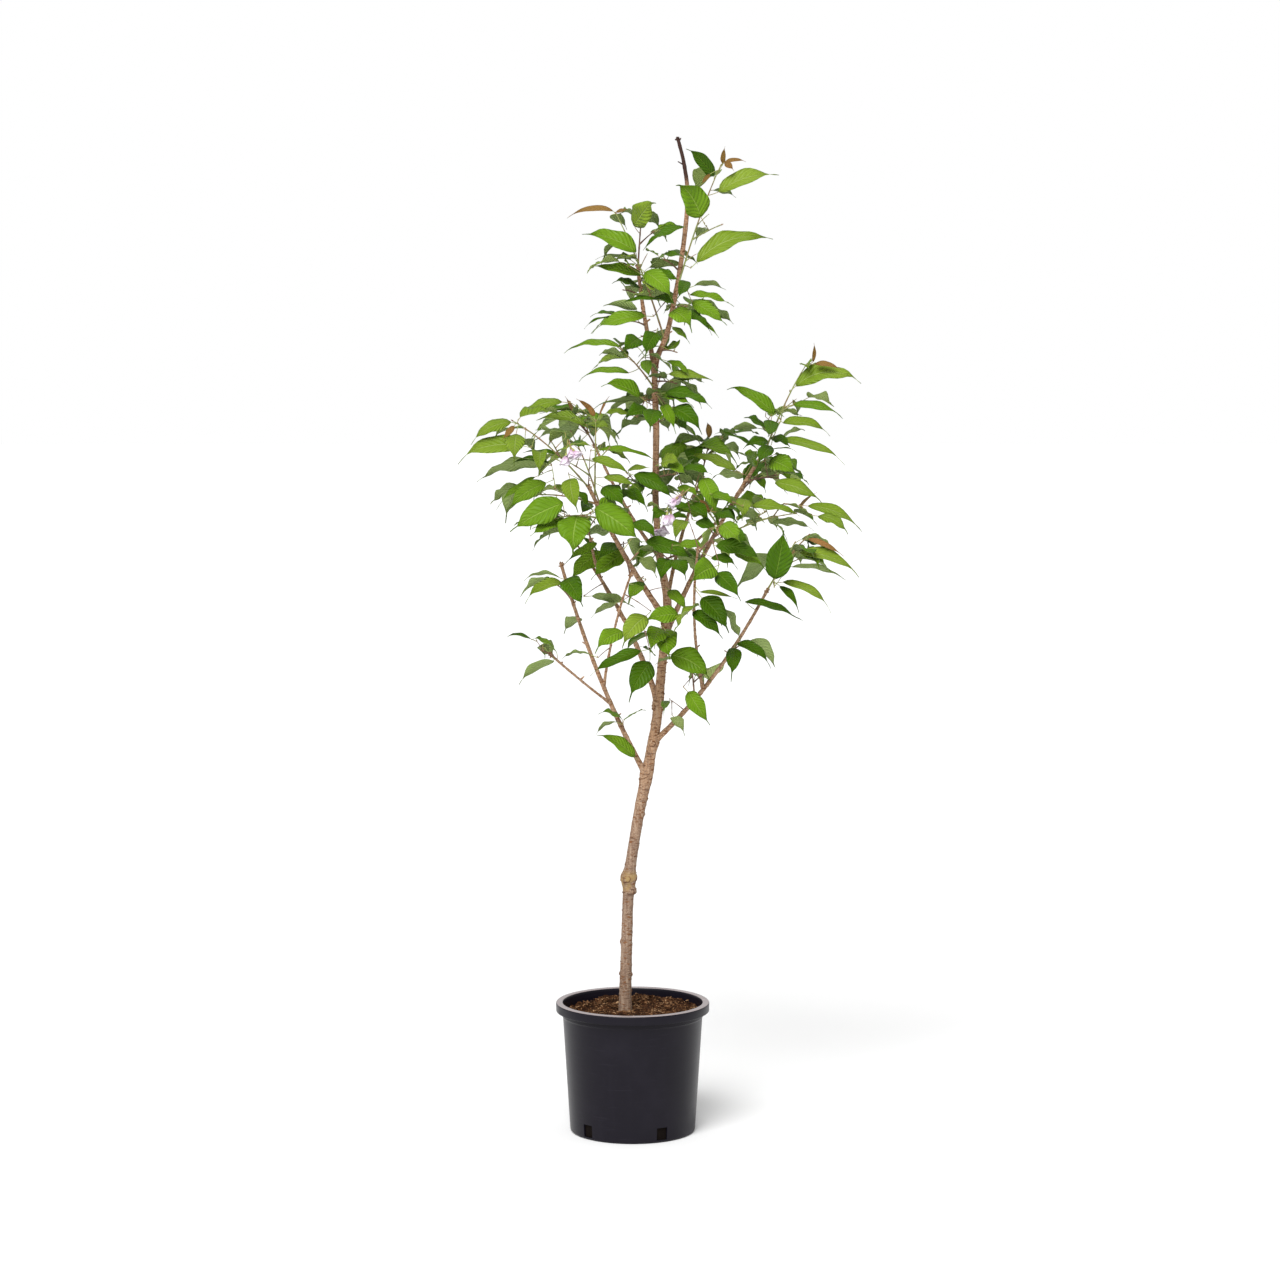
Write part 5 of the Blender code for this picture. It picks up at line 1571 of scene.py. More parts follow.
@dataclass(frozen=True)
class TwigFinish:
    """Skin of a green shoot, a leaf stalk or a brown spur."""

    name: str
    base: Colour
    flush: Colour
    roughness: float = 0.5

    def make(self) -> bpy.types.Material:
        """Make the material."""
        graph = Graph(bpy.data.materials.new(self.name))
        place = graph.place()
        flush = graph.between(graph.speckle(place, 28.0, 3.0), 0.40, 0.66)
        dots = graph.between(graph.speckle(place, 620.0, 1.0), 0.64, 0.72, 0.0, 0.6)
        pale = tuple(min(1.0, 1.6 * channel + 0.04) for channel in self.base)
        graph.colour(graph.blend(dots, graph.blend(flush, self.base, self.flush), pale))
        graph.set(Roughness=self.roughness)
        graph.relief(graph.speckle(place, 480.0, 2.0), 0.00025, 0.6)
        return graph.material


class LeafSide(Enum):
    """Which side of a leaf a finish is for."""

    TOP = "top"
    UNDER = "under"


@dataclass(frozen=True)
class LeafFinish:
    """One side of a cherry leaf in one tone, with its midrib and side veins."""

    name: str
    base: Colour
    shade: Colour
    vein: Colour
    side: LeafSide = LeafSide.TOP
    pairs: float = 10.0
    slant: float = 2.5
    side_share: float = 0.30

    def make(self) -> bpy.types.Material:
        """Make the material."""
        graph = Graph(bpy.data.materials.new(self.name))
        flat = graph.unrolled()
        across = graph.sum("ABSOLUTE", graph.sum("SUBTRACT", flat["Y"], 0.5))
        rows = graph.sum("MULTIPLY", flat["X"], self.pairs)
        rows = graph.sum("SUBTRACT", rows, graph.sum("MULTIPLY", across, 2.0 * self.slant))
        wave = graph.sum("PINGPONG", rows, 0.5)
        side_vein = graph.between(wave, 0.085, 0.015)
        midrib = graph.between(across, 0.040, 0.012)
        veins = graph.sum("MAXIMUM", midrib, graph.sum("MULTIPLY", side_vein, self.side_share))
        place = graph.place()
        mottle = graph.between(graph.speckle(place, 24.0, 4.0), 0.34, 0.68)
        own = graph.between(graph.speckle(place, 7.0, 1.0), 0.38, 0.62)
        tone = graph.blend(graph.sum("MULTIPLY", own, 0.75), self.base, self.shade)
        tone = graph.blend(graph.sum("MULTIPLY", mottle, 0.30), tone, self.shade)
        graph.colour(graph.blend(graph.sum("MULTIPLY", veins, 0.58), tone, self.vein))
        top = self.side is LeafSide.TOP
        sheen = graph.between(mottle, 0.0, 1.0, 0.34, 0.46) if top else 0.70
        graph.join(sheen, graph.shader.inputs["Roughness"])
        graph.set(Specular_IOR_Level=0.13 if top else 0.06)
        quilt = graph.between(wave, 0.0, 0.5)
        graph.relief(graph.sum("SUBTRACT", quilt, veins), 0.0016 if top else -0.0014, 0.85)
        graph.relief(graph.speckle(place, 650.0, 2.0), 0.00018, 0.5)
        return graph.material


@dataclass(frozen=True)
class PetalFinish:
    """Thin petal or calyx, paler or deeper towards its foot."""

    name: str
    foot: Colour
    edge: Colour
    roughness: float = 0.55

    def make(self) -> bpy.types.Material:
        """Make the material."""
        graph = Graph(bpy.data.materials.new(self.name))
        flat = graph.unrolled()
        outward = graph.between(flat["X"], 0.05, 0.85)
        ribs = graph.speckle(graph.place((400.0, 400.0, 60.0)), 1.0, 2.0)
        tint = graph.blend(outward, self.foot, self.edge)
        graph.colour(graph.blend(graph.between(ribs, 0.45, 0.75, 0.0, 0.35), tint, self.foot))
        graph.set(Roughness=self.roughness, Sheen_Weight=0.25)
        graph.relief(ribs, 0.0002, 0.6)
        return graph.material


@dataclass(frozen=True)
class FloorFinish:
    """Plain pale studio floor."""

    name: str = "pale_floor"
    base: Colour = (0.88, 0.88, 0.88)

    def make(self) -> bpy.types.Material:
        """Make the material."""
        graph = Graph(bpy.data.materials.new(self.name))
        graph.colour(self.base)
        graph.set(Roughness=0.9)
        return graph.material


Relief = Callable[[int, Vector, Vector], float]
WELD = 1e-6


def finish_piece(
    name: str,
    bm: bmesh.types.BMesh,
    finishes: Sequence[bpy.types.Material],
    nodes: Iterable[str],
    sharp_deg: float = 50.0,
    thickness: float = 0.0,
) -> None:
    """Turn a shape into a smooth-shaded piece that rides on the body.

    Args:
        name: The piece's name.
        bm: Its shape, which is used up.
        finishes: Its materials.
        nodes: The plain solids that it stands for.
        sharp_deg: Edges that bend more than this stay sharp.
        thickness: How thick an open shape becomes, with its last material on its underside.
    """
    mesh = bpy.data.meshes.new(name)
    bm.to_mesh(mesh)
    bm.free()
    mesh.shade_smooth()
    if sharp_deg:
        mesh.set_sharp_from_angle(angle=math.radians(sharp_deg))
    for finish in finishes:
        mesh.materials.append(finish)
    piece = bpy.data.objects.new(name, mesh)
    bpy.context.scene.collection.objects.link(piece)
    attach(piece, "root")
    nodes = list(nodes)
    if nodes:
        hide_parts(*nodes)
    if thickness:
        solid = piece.modifiers.new("thickness", "SOLIDIFY")
        solid.thickness = thickness
        solid.offset = -1.0
        solid.material_offset = solid.material_offset_rim = len(finishes) - 1
    LOG.info("%s: %d faces", name, len(mesh.polygons))


def new_bmesh() -> bmesh.types.BMesh:
    """Start a shape with a UV map."""
    bm = bmesh.new()
    bm.loops.layers.uv.new("UVMap")
    return bm


def spin_round(bm: bmesh.types.BMesh, steps: int) -> None:
    """Spin an outline once round the upright axis in a number of steps and weld its seam."""
    bmesh.ops.spin(
        bm, geom=[*bm.verts, *bm.edges], cent=(0.0, 0.0, 0.0), axis=UP, dvec=(0.0, 0.0, 0.0),
        angle=math.tau, steps=steps, use_merge=True, use_duplicate=False,
    )
    bmesh.ops.remove_doubles(bm, verts=bm.verts, dist=WELD)


def add_grid(bm: bmesh.types.BMesh, along: int, across: int) -> list[bmesh.types.BMVert]:
    """Add a grid, half a metre each way from the middle, and give its vertices."""
    grid = bmesh.ops.create_grid(bm, x_segments=along, y_segments=across, size=0.5, calc_uvs=True)
    return grid["verts"]


def roll_tube(
    bm: bmesh.types.BMesh,
    points: Sequence[Vector],
    radii: Sequence[float],
    sides: int,
    relief: Relief | None = None,
) -> None:
    """Roll a grid into a tube along a line; seal_tubes then welds and caps it.

    Args:
        bm: The shape that takes the tube.
        points: The line's points.
        radii: The tube's radius at each point.
        sides: Number of sides.
        relief: How far the surface stands out at a ring, direction and place, in metres.
    """
    frames = carried_frames(points)
    for vertex in add_grid(bm, len(points) - 1, sides):
        ring = round((vertex.co.x + 0.5) * (len(points) - 1))
        angle = math.tau * (round((vertex.co.y + 0.5) * sides) % sides) / sides
        across, other = frames[ring]
        spoke = across * math.cos(angle) + other * math.sin(angle)
        stand = relief(ring, spoke, points[ring] + spoke * radii[ring]) if relief else 0.0
        vertex.co = points[ring] + spoke * (radii[ring] + stand)


def seal_tubes(bm: bmesh.types.BMesh) -> None:
    """Weld the tubes' seams, cap their ends and turn their faces outward."""
    bmesh.ops.remove_doubles(bm, verts=bm.verts, dist=WELD)
    bmesh.ops.holes_fill(bm, edges=[edge for edge in bm.edges if edge.is_boundary], sides=0)
    bmesh.ops.recalc_face_normals(bm, faces=bm.faces)


def rounded_line(rows: Sequence[tuple[float, ...]], step: float) -> tuple[list[Vector], list[float]]:
    """Draw a rounded line through rows of (height, x, y, diameter).

    Args:
        rows: The line's stations.
        step: The distance between its points.

    Returns:
        Its points and radii.
    """
    knots = [Vector((x, y, height, width)) for height, x, y, width in rows]
    knots = [knots[0] * 2.0 - knots[1], *knots, knots[-1] * 2.0 - knots[-2]]
    places = []
    for k in range(1, len(knots) - 2):
        a, b, c, d = knots[k - 1 : k + 3]
        count = max(2, round((c - b).length / step))
        for t in (i / count for i in range(count)):
            bend = (b * 3.0 - a - c * 3.0 + d) * t**3 + (a * 2.0 - b * 5.0 + c * 4.0 - d) * t**2
            places.append(b + (bend + (c - a) * t) * 0.5)
    places.append(knots[-2])
    return [place.xyz for place in places], [place.w / 2.0 for place in places]


@dataclass
class PotSkin:
    """The round nursery pot: tapering wall, rolled lip, drainage notches."""

    height: float = 0.302
    rim_radius: float = 0.178
    mouth_radius: float = 0.1630
    wall_top_radius: float = 0.1640
    wall_foot_radius: float = 0.1450
    wall: float = 0.0027
    floor: float = 0.004
    corner: float = 0.005
    lip_drop: float = 0.021
    lip_wall: float = 0.0028
    shoulder_drop: float = 0.012
    shoulder_step: float = 0.0012
    notches: int = 5
    notch_levels: Range = (0.006, 0.035)
    notch_first_deg: float = -134.5
    notch_steps: int = 4
    steps: int = 140
    # Top band of the lip that takes the pale painted highlight.
    painted_highlight_depth: float = 0.0016
    lip_taper: Range = (0.0008, 0.0004)
    mouth_step: float = 0.002
    roundings: tuple[float, ...] = (0.004, 0.001, 0.002, 0.002, 0.001, 0.0016, 0.0036, 0.0014, 0.002)
    wall_finish: PlasticFinish = PlasticFinish(
        "black_pot_plastic", (0.0050, 0.0038, 0.0080), (0.0135, 0.0115, 0.0185), 0.18, 0.34, 0.50)
    # Painted highlight: pale pinkish grey on the lip's top, standing for the sheen along the rim.
    rim_highlight_finish: PlasticFinish = PlasticFinish(
        "rim_painted_highlight_plastic", (0.290, 0.246, 0.248), (0.420, 0.370, 0.370), 0.60, 0.24, 0.38)

    def outer_radius(self, height: float) -> float:
        """Read the outer wall's radius at a height, taken on above its shoulder."""
        share = height / (self.height - self.lip_drop)
        return self.wall_foot_radius + (self.wall_top_radius - self.wall_foot_radius) * share

    def inner_radius(self, height: float) -> float:
        """Read the inner wall's radius at a height."""
        return self.outer_radius(height) - self.shoulder_step - self.wall

    def outline(self) -> list[tuple[float, float, float]]:
        """Draw the wall's outline from the middle of its underside to the middle of its floor.

        Returns:
            Radius, height and rounding of each corner.
        """
        lip_foot = self.height - self.lip_drop
        ceiling = self.height - self.lip_wall
        shoulder = lip_foot - self.shoulder_drop
        inner = self.rim_radius - self.lip_wall
        low, high = self.notch_levels
        rounded = [
            (self.outer_radius(shoulder) - self.shoulder_step, shoulder),
            (self.wall_top_radius, shoulder + self.shoulder_step),
            (self.wall_top_radius, ceiling),
            (inner, ceiling),
            (inner - self.lip_taper[0], lip_foot),
            (self.rim_radius - self.lip_taper[1], lip_foot),
            (self.rim_radius, self.height),
            (self.mouth_radius, self.height),
            (self.inner_radius(ceiling), ceiling - self.mouth_step),
        ]
        return [
            (0.0, 0.0, 0.0),
            (self.wall_foot_radius, 0.0, self.corner),
            (self.outer_radius(low), low, 0.0),
            (self.outer_radius(high), high, 0.0),
            *((*place, rounding) for place, rounding in zip(rounded, self.roundings)),
            (self.inner_radius(high), high, 0.0),
            (self.inner_radius(low), low, 0.0),
            (self.inner_radius(self.floor), self.floor, 0.0),
            (0.0, self.floor, 0.0),
        ]

    def build(self) -> None:
        """Spin the outline, open the notches and dress the pot."""
        bm = new_bmesh()
        start = math.radians(self.notch_first_deg) - math.pi * self.notch_steps / self.steps
        turn = Vector((math.cos(start), math.sin(start), 0.0))
        rows = self.outline()
        chain = [bm.verts.new(turn * radius + UP * height) for radius, height, _ in rows]
        for low, high in zip(chain, chain[1:]):
            bm.edges.new((low, high))
        for vertex, (_, _, rounding) in zip(chain, rows):
            if rounding:
                bmesh.ops.bevel(
                    bm, geom=[vertex], offset=rounding, offset_type="OFFSET", affect="VERTICES",
                    segments=4, profile=0.5, material=-1,
                )
        spin_round(bm, self.steps)
        for k in range(self.notches):
            self.open_notch(bm, start + math.tau * k / self.notches)
        bmesh.ops.recalc_face_normals(bm, faces=bm.faces)
        # The lip's top faces take the painted highlight.
        for face in bm.faces:
            if min(vertex.co.z for vertex in face.verts) > self.height - self.painted_highlight_depth:
                face.material_index = 1
        finishes = [self.wall_finish.make(), self.rim_highlight_finish.make()]
        finish_piece("pot_wall", bm, finishes, ["pot"], 35.0)

    def open_notch(self, bm: bmesh.types.BMesh, start: float) -> None:
        """Open one notch through the wall.

        Args:
            bm: The pot's shape.
            start: The notch's first edge, as a turn about the pot.
        """
        low, high = self.notch_levels
        width = math.tau * self.notch_steps / self.steps
        faces = []
        for face in bm.faces:
            place = face.calc_center_median()
            turn = (math.atan2(place.y, place.x) - start) % (math.tau)
            if low < place.z < high and turn < width:
                faces.append(face)
        bmesh.ops.delete(bm, geom=faces, context="FACES")
        bmesh.ops.bridge_loops(bm, edges=[edge for edge in bm.edges if edge.is_boundary])


@dataclass
class CoirFilling:
    """The damp coir and bark in the pot, with chips and fibres strewn over it."""

    pot: PotSkin
    top: float = 0.2835
    edge_drop: float = 0.005
    gap: float = 0.0006
    rings: int = 34
    spokes: int = 130
    chips: int = 2600
    clods: float = 42.0
    clod_play: Range = (-0.45, 0.30)
    tones: tuple[float, ...] = (0.26, 0.50, 0.24)
    fibres: int = 260
    seed: int = 51
    lumps: tuple[Range, ...] = ((0.0105, 22.0), (0.0085, 58.0), (0.0030, 160.0))
    slope: Range = (0.010, 0.016)
    trunk_clear: float = 0.019
    chip_clear: float = 0.008
    chip_length: Range = (0.003, 0.011)
    chip_play: Range = (0.6, 1.25)
    chip_width_share: Range = (0.25, 0.6)
    chip_height: Range = (0.0008, 0.0024)
    chip_lift: Range = (-0.2, 0.8)
    chip_tilt: float = 0.7
    chip_wear: float = 0.45
    fibre_clear: float = 0.022
    fibre_length: Range = (0.008, 0.018)
    fibre_rise: Range = (-0.1, 0.25)
    fibre_curl: float = 0.3
    fibre_arch: float = 0.0015
    fibre_radii: tuple[float, ...] = (0.00030, 0.00042, 0.00045, 0.00038, 0.00018)
    trunk_foot: Vector = field(default_factory=lambda: Vector((-0.017, 0.0, 0.0)))
    dark: CoirFinish = CoirFinish("dark_coir", (0.010, 0.004, 0.002), (0.085, 0.034, 0.013))
    brown: CoirFinish = CoirFinish("brown_coir", (0.050, 0.022, 0.009), (0.215, 0.108, 0.050))
    pale: CoirFinish = CoirFinish("pale_coir", (0.165, 0.082, 0.036), (0.400, 0.250, 0.138))

    def level(self, x: float, y: float) -> float:
        """Read the lumpy surface's height over a place.

        Args:
            x: Place along X.
            y: Place along Y.

        Returns:
            The height above the floor.
        """
        place = Vector((x, y, 0.0))
        edge = (place.length / self.pot.inner_radius(self.top)) ** 6 * self.edge_drop
        layers = zip(self.lumps, (UP * 0.0, UP * 3.0, UP * 7.0))
        coarse, middle, fine = [size * noise.noise(place * scale + away) for (size, scale), away in layers]
        return self.top - edge + (coarse + middle) + fine + self.slope[1] * y + self.slope[0] * x

    def build(self) -> None:
        """Shape the filling and strew its chips and fibres."""
        finishes = [self.dark.make(), self.brown.make(), self.pale.make()]
        self.body(finishes[0])
        rng = random.Random(self.seed)
        for name, finish, share in zip(("dark", "brown", "pale"), finishes, self.tones):
            self.strew_chips(f"coir_chips_{name}", finish, round(self.chips * share), rng)
        self.strew_fibres(finishes[1], rng)

    def body(self, finish: bpy.types.Material) -> None:
        """Spin the filling and raise its lumps."""
        bm = new_bmesh()
        floor = self.pot.floor + self.gap
        corners = [(0.0, self.top), (self.pot.inner_radius(self.top) - self.gap, self.top)]
        corners.extend([(self.pot.inner_radius(floor) - self.gap, floor), (0.0, floor)])
        chain = [bm.verts.new((radius, 0.0, height)) for radius, height in corners]
        edges = [bm.edges.new(pair) for pair in zip(chain, chain[1:])]
        bmesh.ops.subdivide_edges(bm, edges=[edges[0]], cuts=self.rings)
        spin_round(bm, self.spokes)
        for vertex in bm.verts:
            if vertex.co.z > self.top - 1e-4:
                vertex.co.z = self.level(vertex.co.x, vertex.co.y)
        bmesh.ops.recalc_face_normals(bm, faces=bm.faces)
        finish_piece("coir_body", bm, [finish], ["soil"], 60.0)

    def spot(self, rng: random.Random, margin: float) -> Vector:
        """Pick a place on the surface, clear of the trunk and the wall.

        Args:
            rng: The filling's own seeded source.
            margin: The least way to the wall.

        Returns:
            The place.
        """
        while True:
            radius = math.sqrt(rng.random()) * (self.pot.inner_radius(self.top) - margin)
            turn = rng.uniform(0.0, math.tau)
            x, y = radius * math.cos(turn), radius * math.sin(turn)
            clod = noise.noise(Vector((x, y, 0.0)) * self.clods)
            away = (Vector((x, y, 0.0)) - self.trunk_foot).length
            if away > self.trunk_clear and clod > rng.uniform(*self.clod_play):
                return Vector((x, y, self.level(x, y)))

    def strew_chips(self, name: str, finish: bpy.types.Material, count: int, rng: random.Random) -> None:
        """Strew broken chips of one tone.

        Args:
            name: The piece's name.
            finish: Its material.
            count: How many chips.
            rng: The filling's own seeded source.
        """
        bm = new_bmesh()
        for _ in range(count):
            length = rng.uniform(*self.chip_length) * rng.uniform(*self.chip_play)
            width = length * rng.uniform(*self.chip_width_share)
            size = Vector((length, width, rng.uniform(*self.chip_height)))
            tilt = Matrix.Rotation(rng.uniform(-self.chip_tilt, self.chip_tilt), 4, "X")
            tilt = tilt @ Matrix.Rotation(rng.uniform(-self.chip_tilt, self.chip_tilt), 4, "Y")
            spin = Matrix.Rotation(rng.uniform(0.0, math.pi), 4, "Z")
            place = self.spot(rng, self.chip_clear) + UP * size.z * rng.uniform(*self.chip_lift)
            matrix = Matrix.Translation(place) @ spin @ tilt @ Matrix.Diagonal((*size, 1.0))
            chip = bmesh.ops.create_cube(bm, size=1.0, matrix=matrix)["verts"]
            for vertex in chip:
                vertex.co += (place - vertex.co) * rng.uniform(0.0, self.chip_wear)
        finish_piece(name, bm, [finish], ["soil"], 30.0)

    def strew_fibres(self, finish: bpy.types.Material, rng: random.Random) -> None:
        """Strew curled fibres."""
        bm = new_bmesh()
        for _ in range(self.fibres):
            start = self.spot(rng, self.fibre_clear)
            turn = rng.uniform(0.0, math.tau)
            way = Vector((math.cos(turn), math.sin(turn), rng.uniform(*self.fibre_rise)))
            reach = way * rng.uniform(*self.fibre_length)
            side = Vector((-reach.y, reach.x, 0.0)) * rng.uniform(-self.fibre_curl, self.fibre_curl)
            bow = side + UP * self.fibre_arch
            points = bowed_line(start, start + reach, bow, len(self.fibre_radii))
            roll_tube(bm, points, self.fibre_radii, 3)
        seal_tubes(bm)
        finish_piece("coir_fibres", bm, [finish], ["soil"])


@dataclass(frozen=True)
class Knot:
    """A rounded swelling on the trunk, with a dark ring round it that is partly its scar and partly painted
    shade.
    """

    height: float
    turn_deg: float
    stand: float
    spread: float

    def swell(self, height: float, spoke: Vector, radius: float) -> float:
        """Read how far the knot lifts the bark.

        Args:
            height: Height above the floor.
            spoke: Direction out of the trunk.
            radius: The trunk's radius there.

        Returns:
            The lift, in metres.
        """
        turn = math.radians(self.turn_deg)
        across = radius * math.acos(max(-1.0, min(1.0, spoke.x * math.cos(turn) + spoke.y * math.sin(turn))))
        near = (across * across + (height - self.height) ** 2) / (self.spread * self.spread)
        return self.stand * math.exp(-near) if near < 9.0 else 0.0


@dataclass
class BarkSkin:
    """Trunk and boughs as tapering tubes with relief: graft, collars, nodes, lenticels and cut stubs."""

    rule: GrowthRule
    limbs: dict[str, Limb]
    step: float = 0.0055
    trunk_step: float = 0.0034
    trunk_sides: int = 30
    bough_sides: int = 14
    sunk_foot: tuple[float, float, float, float] = (0.262, -0.017, 0.0, 0.0350)
    knots: tuple[Knot, ...] = (
        Knot(0.562, -30.0, 0.0085, 0.0085),
        Knot(0.560, -75.0, 0.0050, 0.0080),
        Knot(0.590, -110.0, 0.0035, 0.0100),
        Knot(0.592, 160.0, 0.0030, 0.0110),
        Knot(0.594, 10.0, 0.0030, 0.0100),
        Knot(0.442, 175.0, 0.0032, 0.0045),
        Knot(0.368, 178.0, 0.0022, 0.0035),
        Knot(0.365, -8.0, 0.0020, 0.0032),
        Knot(0.740, 2.0, 0.0026, 0.0042),
        Knot(0.775, 12.0, 0.0018, 0.0036),
        Knot(0.905, -95.0, 0.0042, 0.0085),
        Knot(0.990, -150.0, 0.0040, 0.0080),
    )
    collar_share: float = 0.30
    collar_rise: float = 0.004
    collar_reach: float = 0.015
    crease_drop: float = 0.012
    crease_reach: float = 0.003
    crease_stand: float = 0.0007
    trunk_nodes: Range = (0.047, 0.0005)
    bough_nodes: Range = (0.034, 0.0007)
    flare_share: float = 0.20
    flare_reach: float = 0.012
    tip_swell: Range = (0.009, 0.0010)
    lenticels: int = 260
    # Dark rings round knots and arcs under boughs: partly scar and ridge, partly painted shade.
    scar_and_shade_radius: float = 0.0062
    ring_and_shade_width: float = 0.0014
    ridge_half_deg: float = 80.0
    lenticel_half: Range = (0.0014, 0.0064)
    lenticel_rise: Range = (0.0006, 0.0015)
    bold_lenticel: Range = (0.0052, 0.0021)
    bold_every: int = 8
    leader_stubs: int = 13
    bough_stubs: int = 3
    stub_first_height: float = 1.02
    stub_length: Range = (0.006, 0.013)
    stub_radius: Range = (0.0012, 0.0021)
    tip_buds: int = 7
    tip_bud_length: Range = (0.003, 0.007)
    tip_bud_radii: tuple[float, ...] = (0.0016, 0.0022, 0.0016, 0.0004)
    # Cork colour of the lenticels, also used for the partly painted-shade rings round knots and arcs under
    # boughs.
    skin: TwigFinish = TwigFinish("lenticel_cork_and_shade_rings", (0.185, 0.085, 0.032), (0.085, 0.034, 0.015), 0.85)
    stub_seed: int = 77
    finish: BarkFinish = field(default_factory=BarkFinish)

    @staticmethod
    def grain(place: Vector) -> float:
        """Read the bark's fine relief at a place.

        Args:
            place: A place on the limb.

        Returns:
            How far it stands out, in metres.
        """
        coarse = noise.noise(Vector((place.x * 85.0, place.y * 85.0, place.z * 42.0)))
        fine = noise.noise(Vector((place.x * 230.0, place.y * 230.0, place.z * 190.0)) + UP * 5.0)
        level = noise.noise(Vector((place.x * 75.0, place.y * 75.0, place.z * 360.0)) + UP * 9.0)
        return 0.00055 * coarse + 0.00022 * fine + (0.00045 if level > 0.30 else 0.0)

    def trunk_relief(self, rows: Sequence[Vector], radii: Sequence[float]) -> Relief:
        """Set out where the trunk swells.

        Args:
            rows: The trunk's fine centre line.
            radii: Its radius at each row.

        Returns:
            How far the bark stands out at each ring, direction and place.
        """
        collars = []
        for row in BOUGHS:
            if row.parent == "trunk":
                limb = self.limbs[row.name]
                outward = limb.points[1] - limb.points[0]
                outward.z = 0.0
                collars.append((row.height, outward.normalized(), row.foot_width * self.collar_share))

        def stand(ring: int, spoke: Vector, place: Vector) -> float:
            """Read how far the trunk's bark stands out."""
            height = rows[ring].z
            total = self.grain(place) * min(1.0, 0.35 + (2.3 - height) * 0.5) - 0.0003
            total += sum(knot.swell(height, spoke, radii[ring]) for knot in self.knots)
            for level, outward, swell in collars:
                near = math.exp(-(((height - level - self.collar_rise) / self.collar_reach) ** 2))
                total += swell * near * max(0.0, spoke.dot(outward)) ** 1.5
                crease = math.exp(-(((height - level + self.crease_drop) / self.crease_reach) ** 2))
                total += self.crease_stand * crease
            spacing, node = self.trunk_nodes
            return total + node * max(0.0, math.sin(height * math.tau / spacing)) ** 8

        return stand

    def build(self) -> None:
        """Build and dress the trunk, each bough and the cut stubs."""
        finish = self.finish.make()
        points, radii = rounded_line([self.sunk_foot, *TRUNK_LINE], self.trunk_step)
        relief = self.trunk_relief(points, radii)
        bm = new_bmesh()
        roll_tube(bm, points, radii, self.trunk_sides, relief)
        seal_tubes(bm)
        finish_piece("trunk_bark", bm, [finish], ["trunk"], 70.0)
        bm = new_bmesh()
        self.roll_lenticels(bm, points, radii, relief)
        seal_tubes(bm)
        finish_piece("trunk_lenticels_and_shade_rings", bm, [self.skin.make()], [])
        bm = new_bmesh()
        for row in BOUGHS:
            self.roll_bough(bm, row)
        seal_tubes(bm)
        finish_piece("bough_bark", bm, [finish], [row.name for row in BOUGHS], 70.0)
        bm = new_bmesh()
        self.roll_stubs(bm)
        seal_tubes(bm)
        finish_piece("cut_stubs", bm, [finish], [])

    def roll_lenticels(
        self, bm: bmesh.types.BMesh, points: Sequence[Vector], radii: Sequence[float], relief: Relief
    ) -> None:
        """Roll the level corky lenticels on the trunk, the dark rings round the knots and the dark ridges
        under its boughs; the rings and ridges are partly real scars and ridges and partly painted shade.

        Args:
            bm: The shape that takes them.
            points: The trunk's fine centre line.
            radii: Its radius at each row.
            relief: How far its bark stands out.
        """

        def skin(height: float, turn: float) -> Vector:
            """Find the bark's surface at a height and a turn about the trunk."""
            ring = min(range(len(points)), key=lambda k: abs(points[k].z - height))
            spoke = Vector((math.cos(turn), math.sin(turn), 0.0))
            return points[ring] + spoke * (radii[ring] + relief(ring, spoke, points[ring]) - 0.0001)

        rng = random.Random(self.stub_seed + 1)
        for index in range(self.lenticels):
            ring = round(len(points) * (0.03 + 0.62 * rng.random() ** 1.2))
            height, middle = points[ring].z, rng.uniform(0.0, math.tau)
            bold = index % self.bold_every == 0
            half = (self.bold_lenticel[0] if bold else rng.uniform(*self.lenticel_half)) / radii[ring]
            rise = self.bold_lenticel[1] if bold else rng.uniform(*self.lenticel_rise)
            line = [skin(height, middle + half * (k - 2) / 2.0) for k in range(5)]
            roll_tube(bm, line, [rise * share for share in (0.25, 0.8, 1.0, 0.8, 0.25)], 5)
        # Partly painted shade: a dark cork ring round each knot, partly its scar and partly the shade round
        # the swelling.
        for knot in self.knots:
            radius = self.scar_and_shade_radius * knot.spread / 0.0085
            turn = math.radians(knot.turn_deg)
            line = []
            for k in range(15):
                angle = math.radians(200.0) + math.radians(250.0) * k / 14.0
                level = knot.height + radius * math.sin(angle)
                line.append(skin(level, turn + radius * math.cos(angle) / 0.013))
            swells = [0.4 + 0.6 * math.sin(math.pi * k / 14.0) for k in range(15)]
            roll_tube(bm, line, [self.ring_and_shade_width * swell for swell in swells], 5)
        # Partly painted shade: a dark arc in the crease under each bough, partly its bark ridge and partly
        # the shade under the bough.
        for row in BOUGHS:
            if row.parent == "trunk":
                limb = self.limbs[row.name]
                outward = limb.points[1] - limb.points[0]
                middle, half = math.atan2(outward.y, outward.x), math.radians(self.ridge_half_deg)
                drop = row.foot_width * 0.75
                line = [
                    skin(row.height - drop * (1.0 - abs(k - 6) / 6.0) + 0.002, middle + half * (k - 6) / 6.0)
                    for k in range(13)
                ]
                roll_tube(bm, line, [self.ring_and_shade_width * (1.0 - abs(k - 6) / 7.5) for k in range(13)], 5)

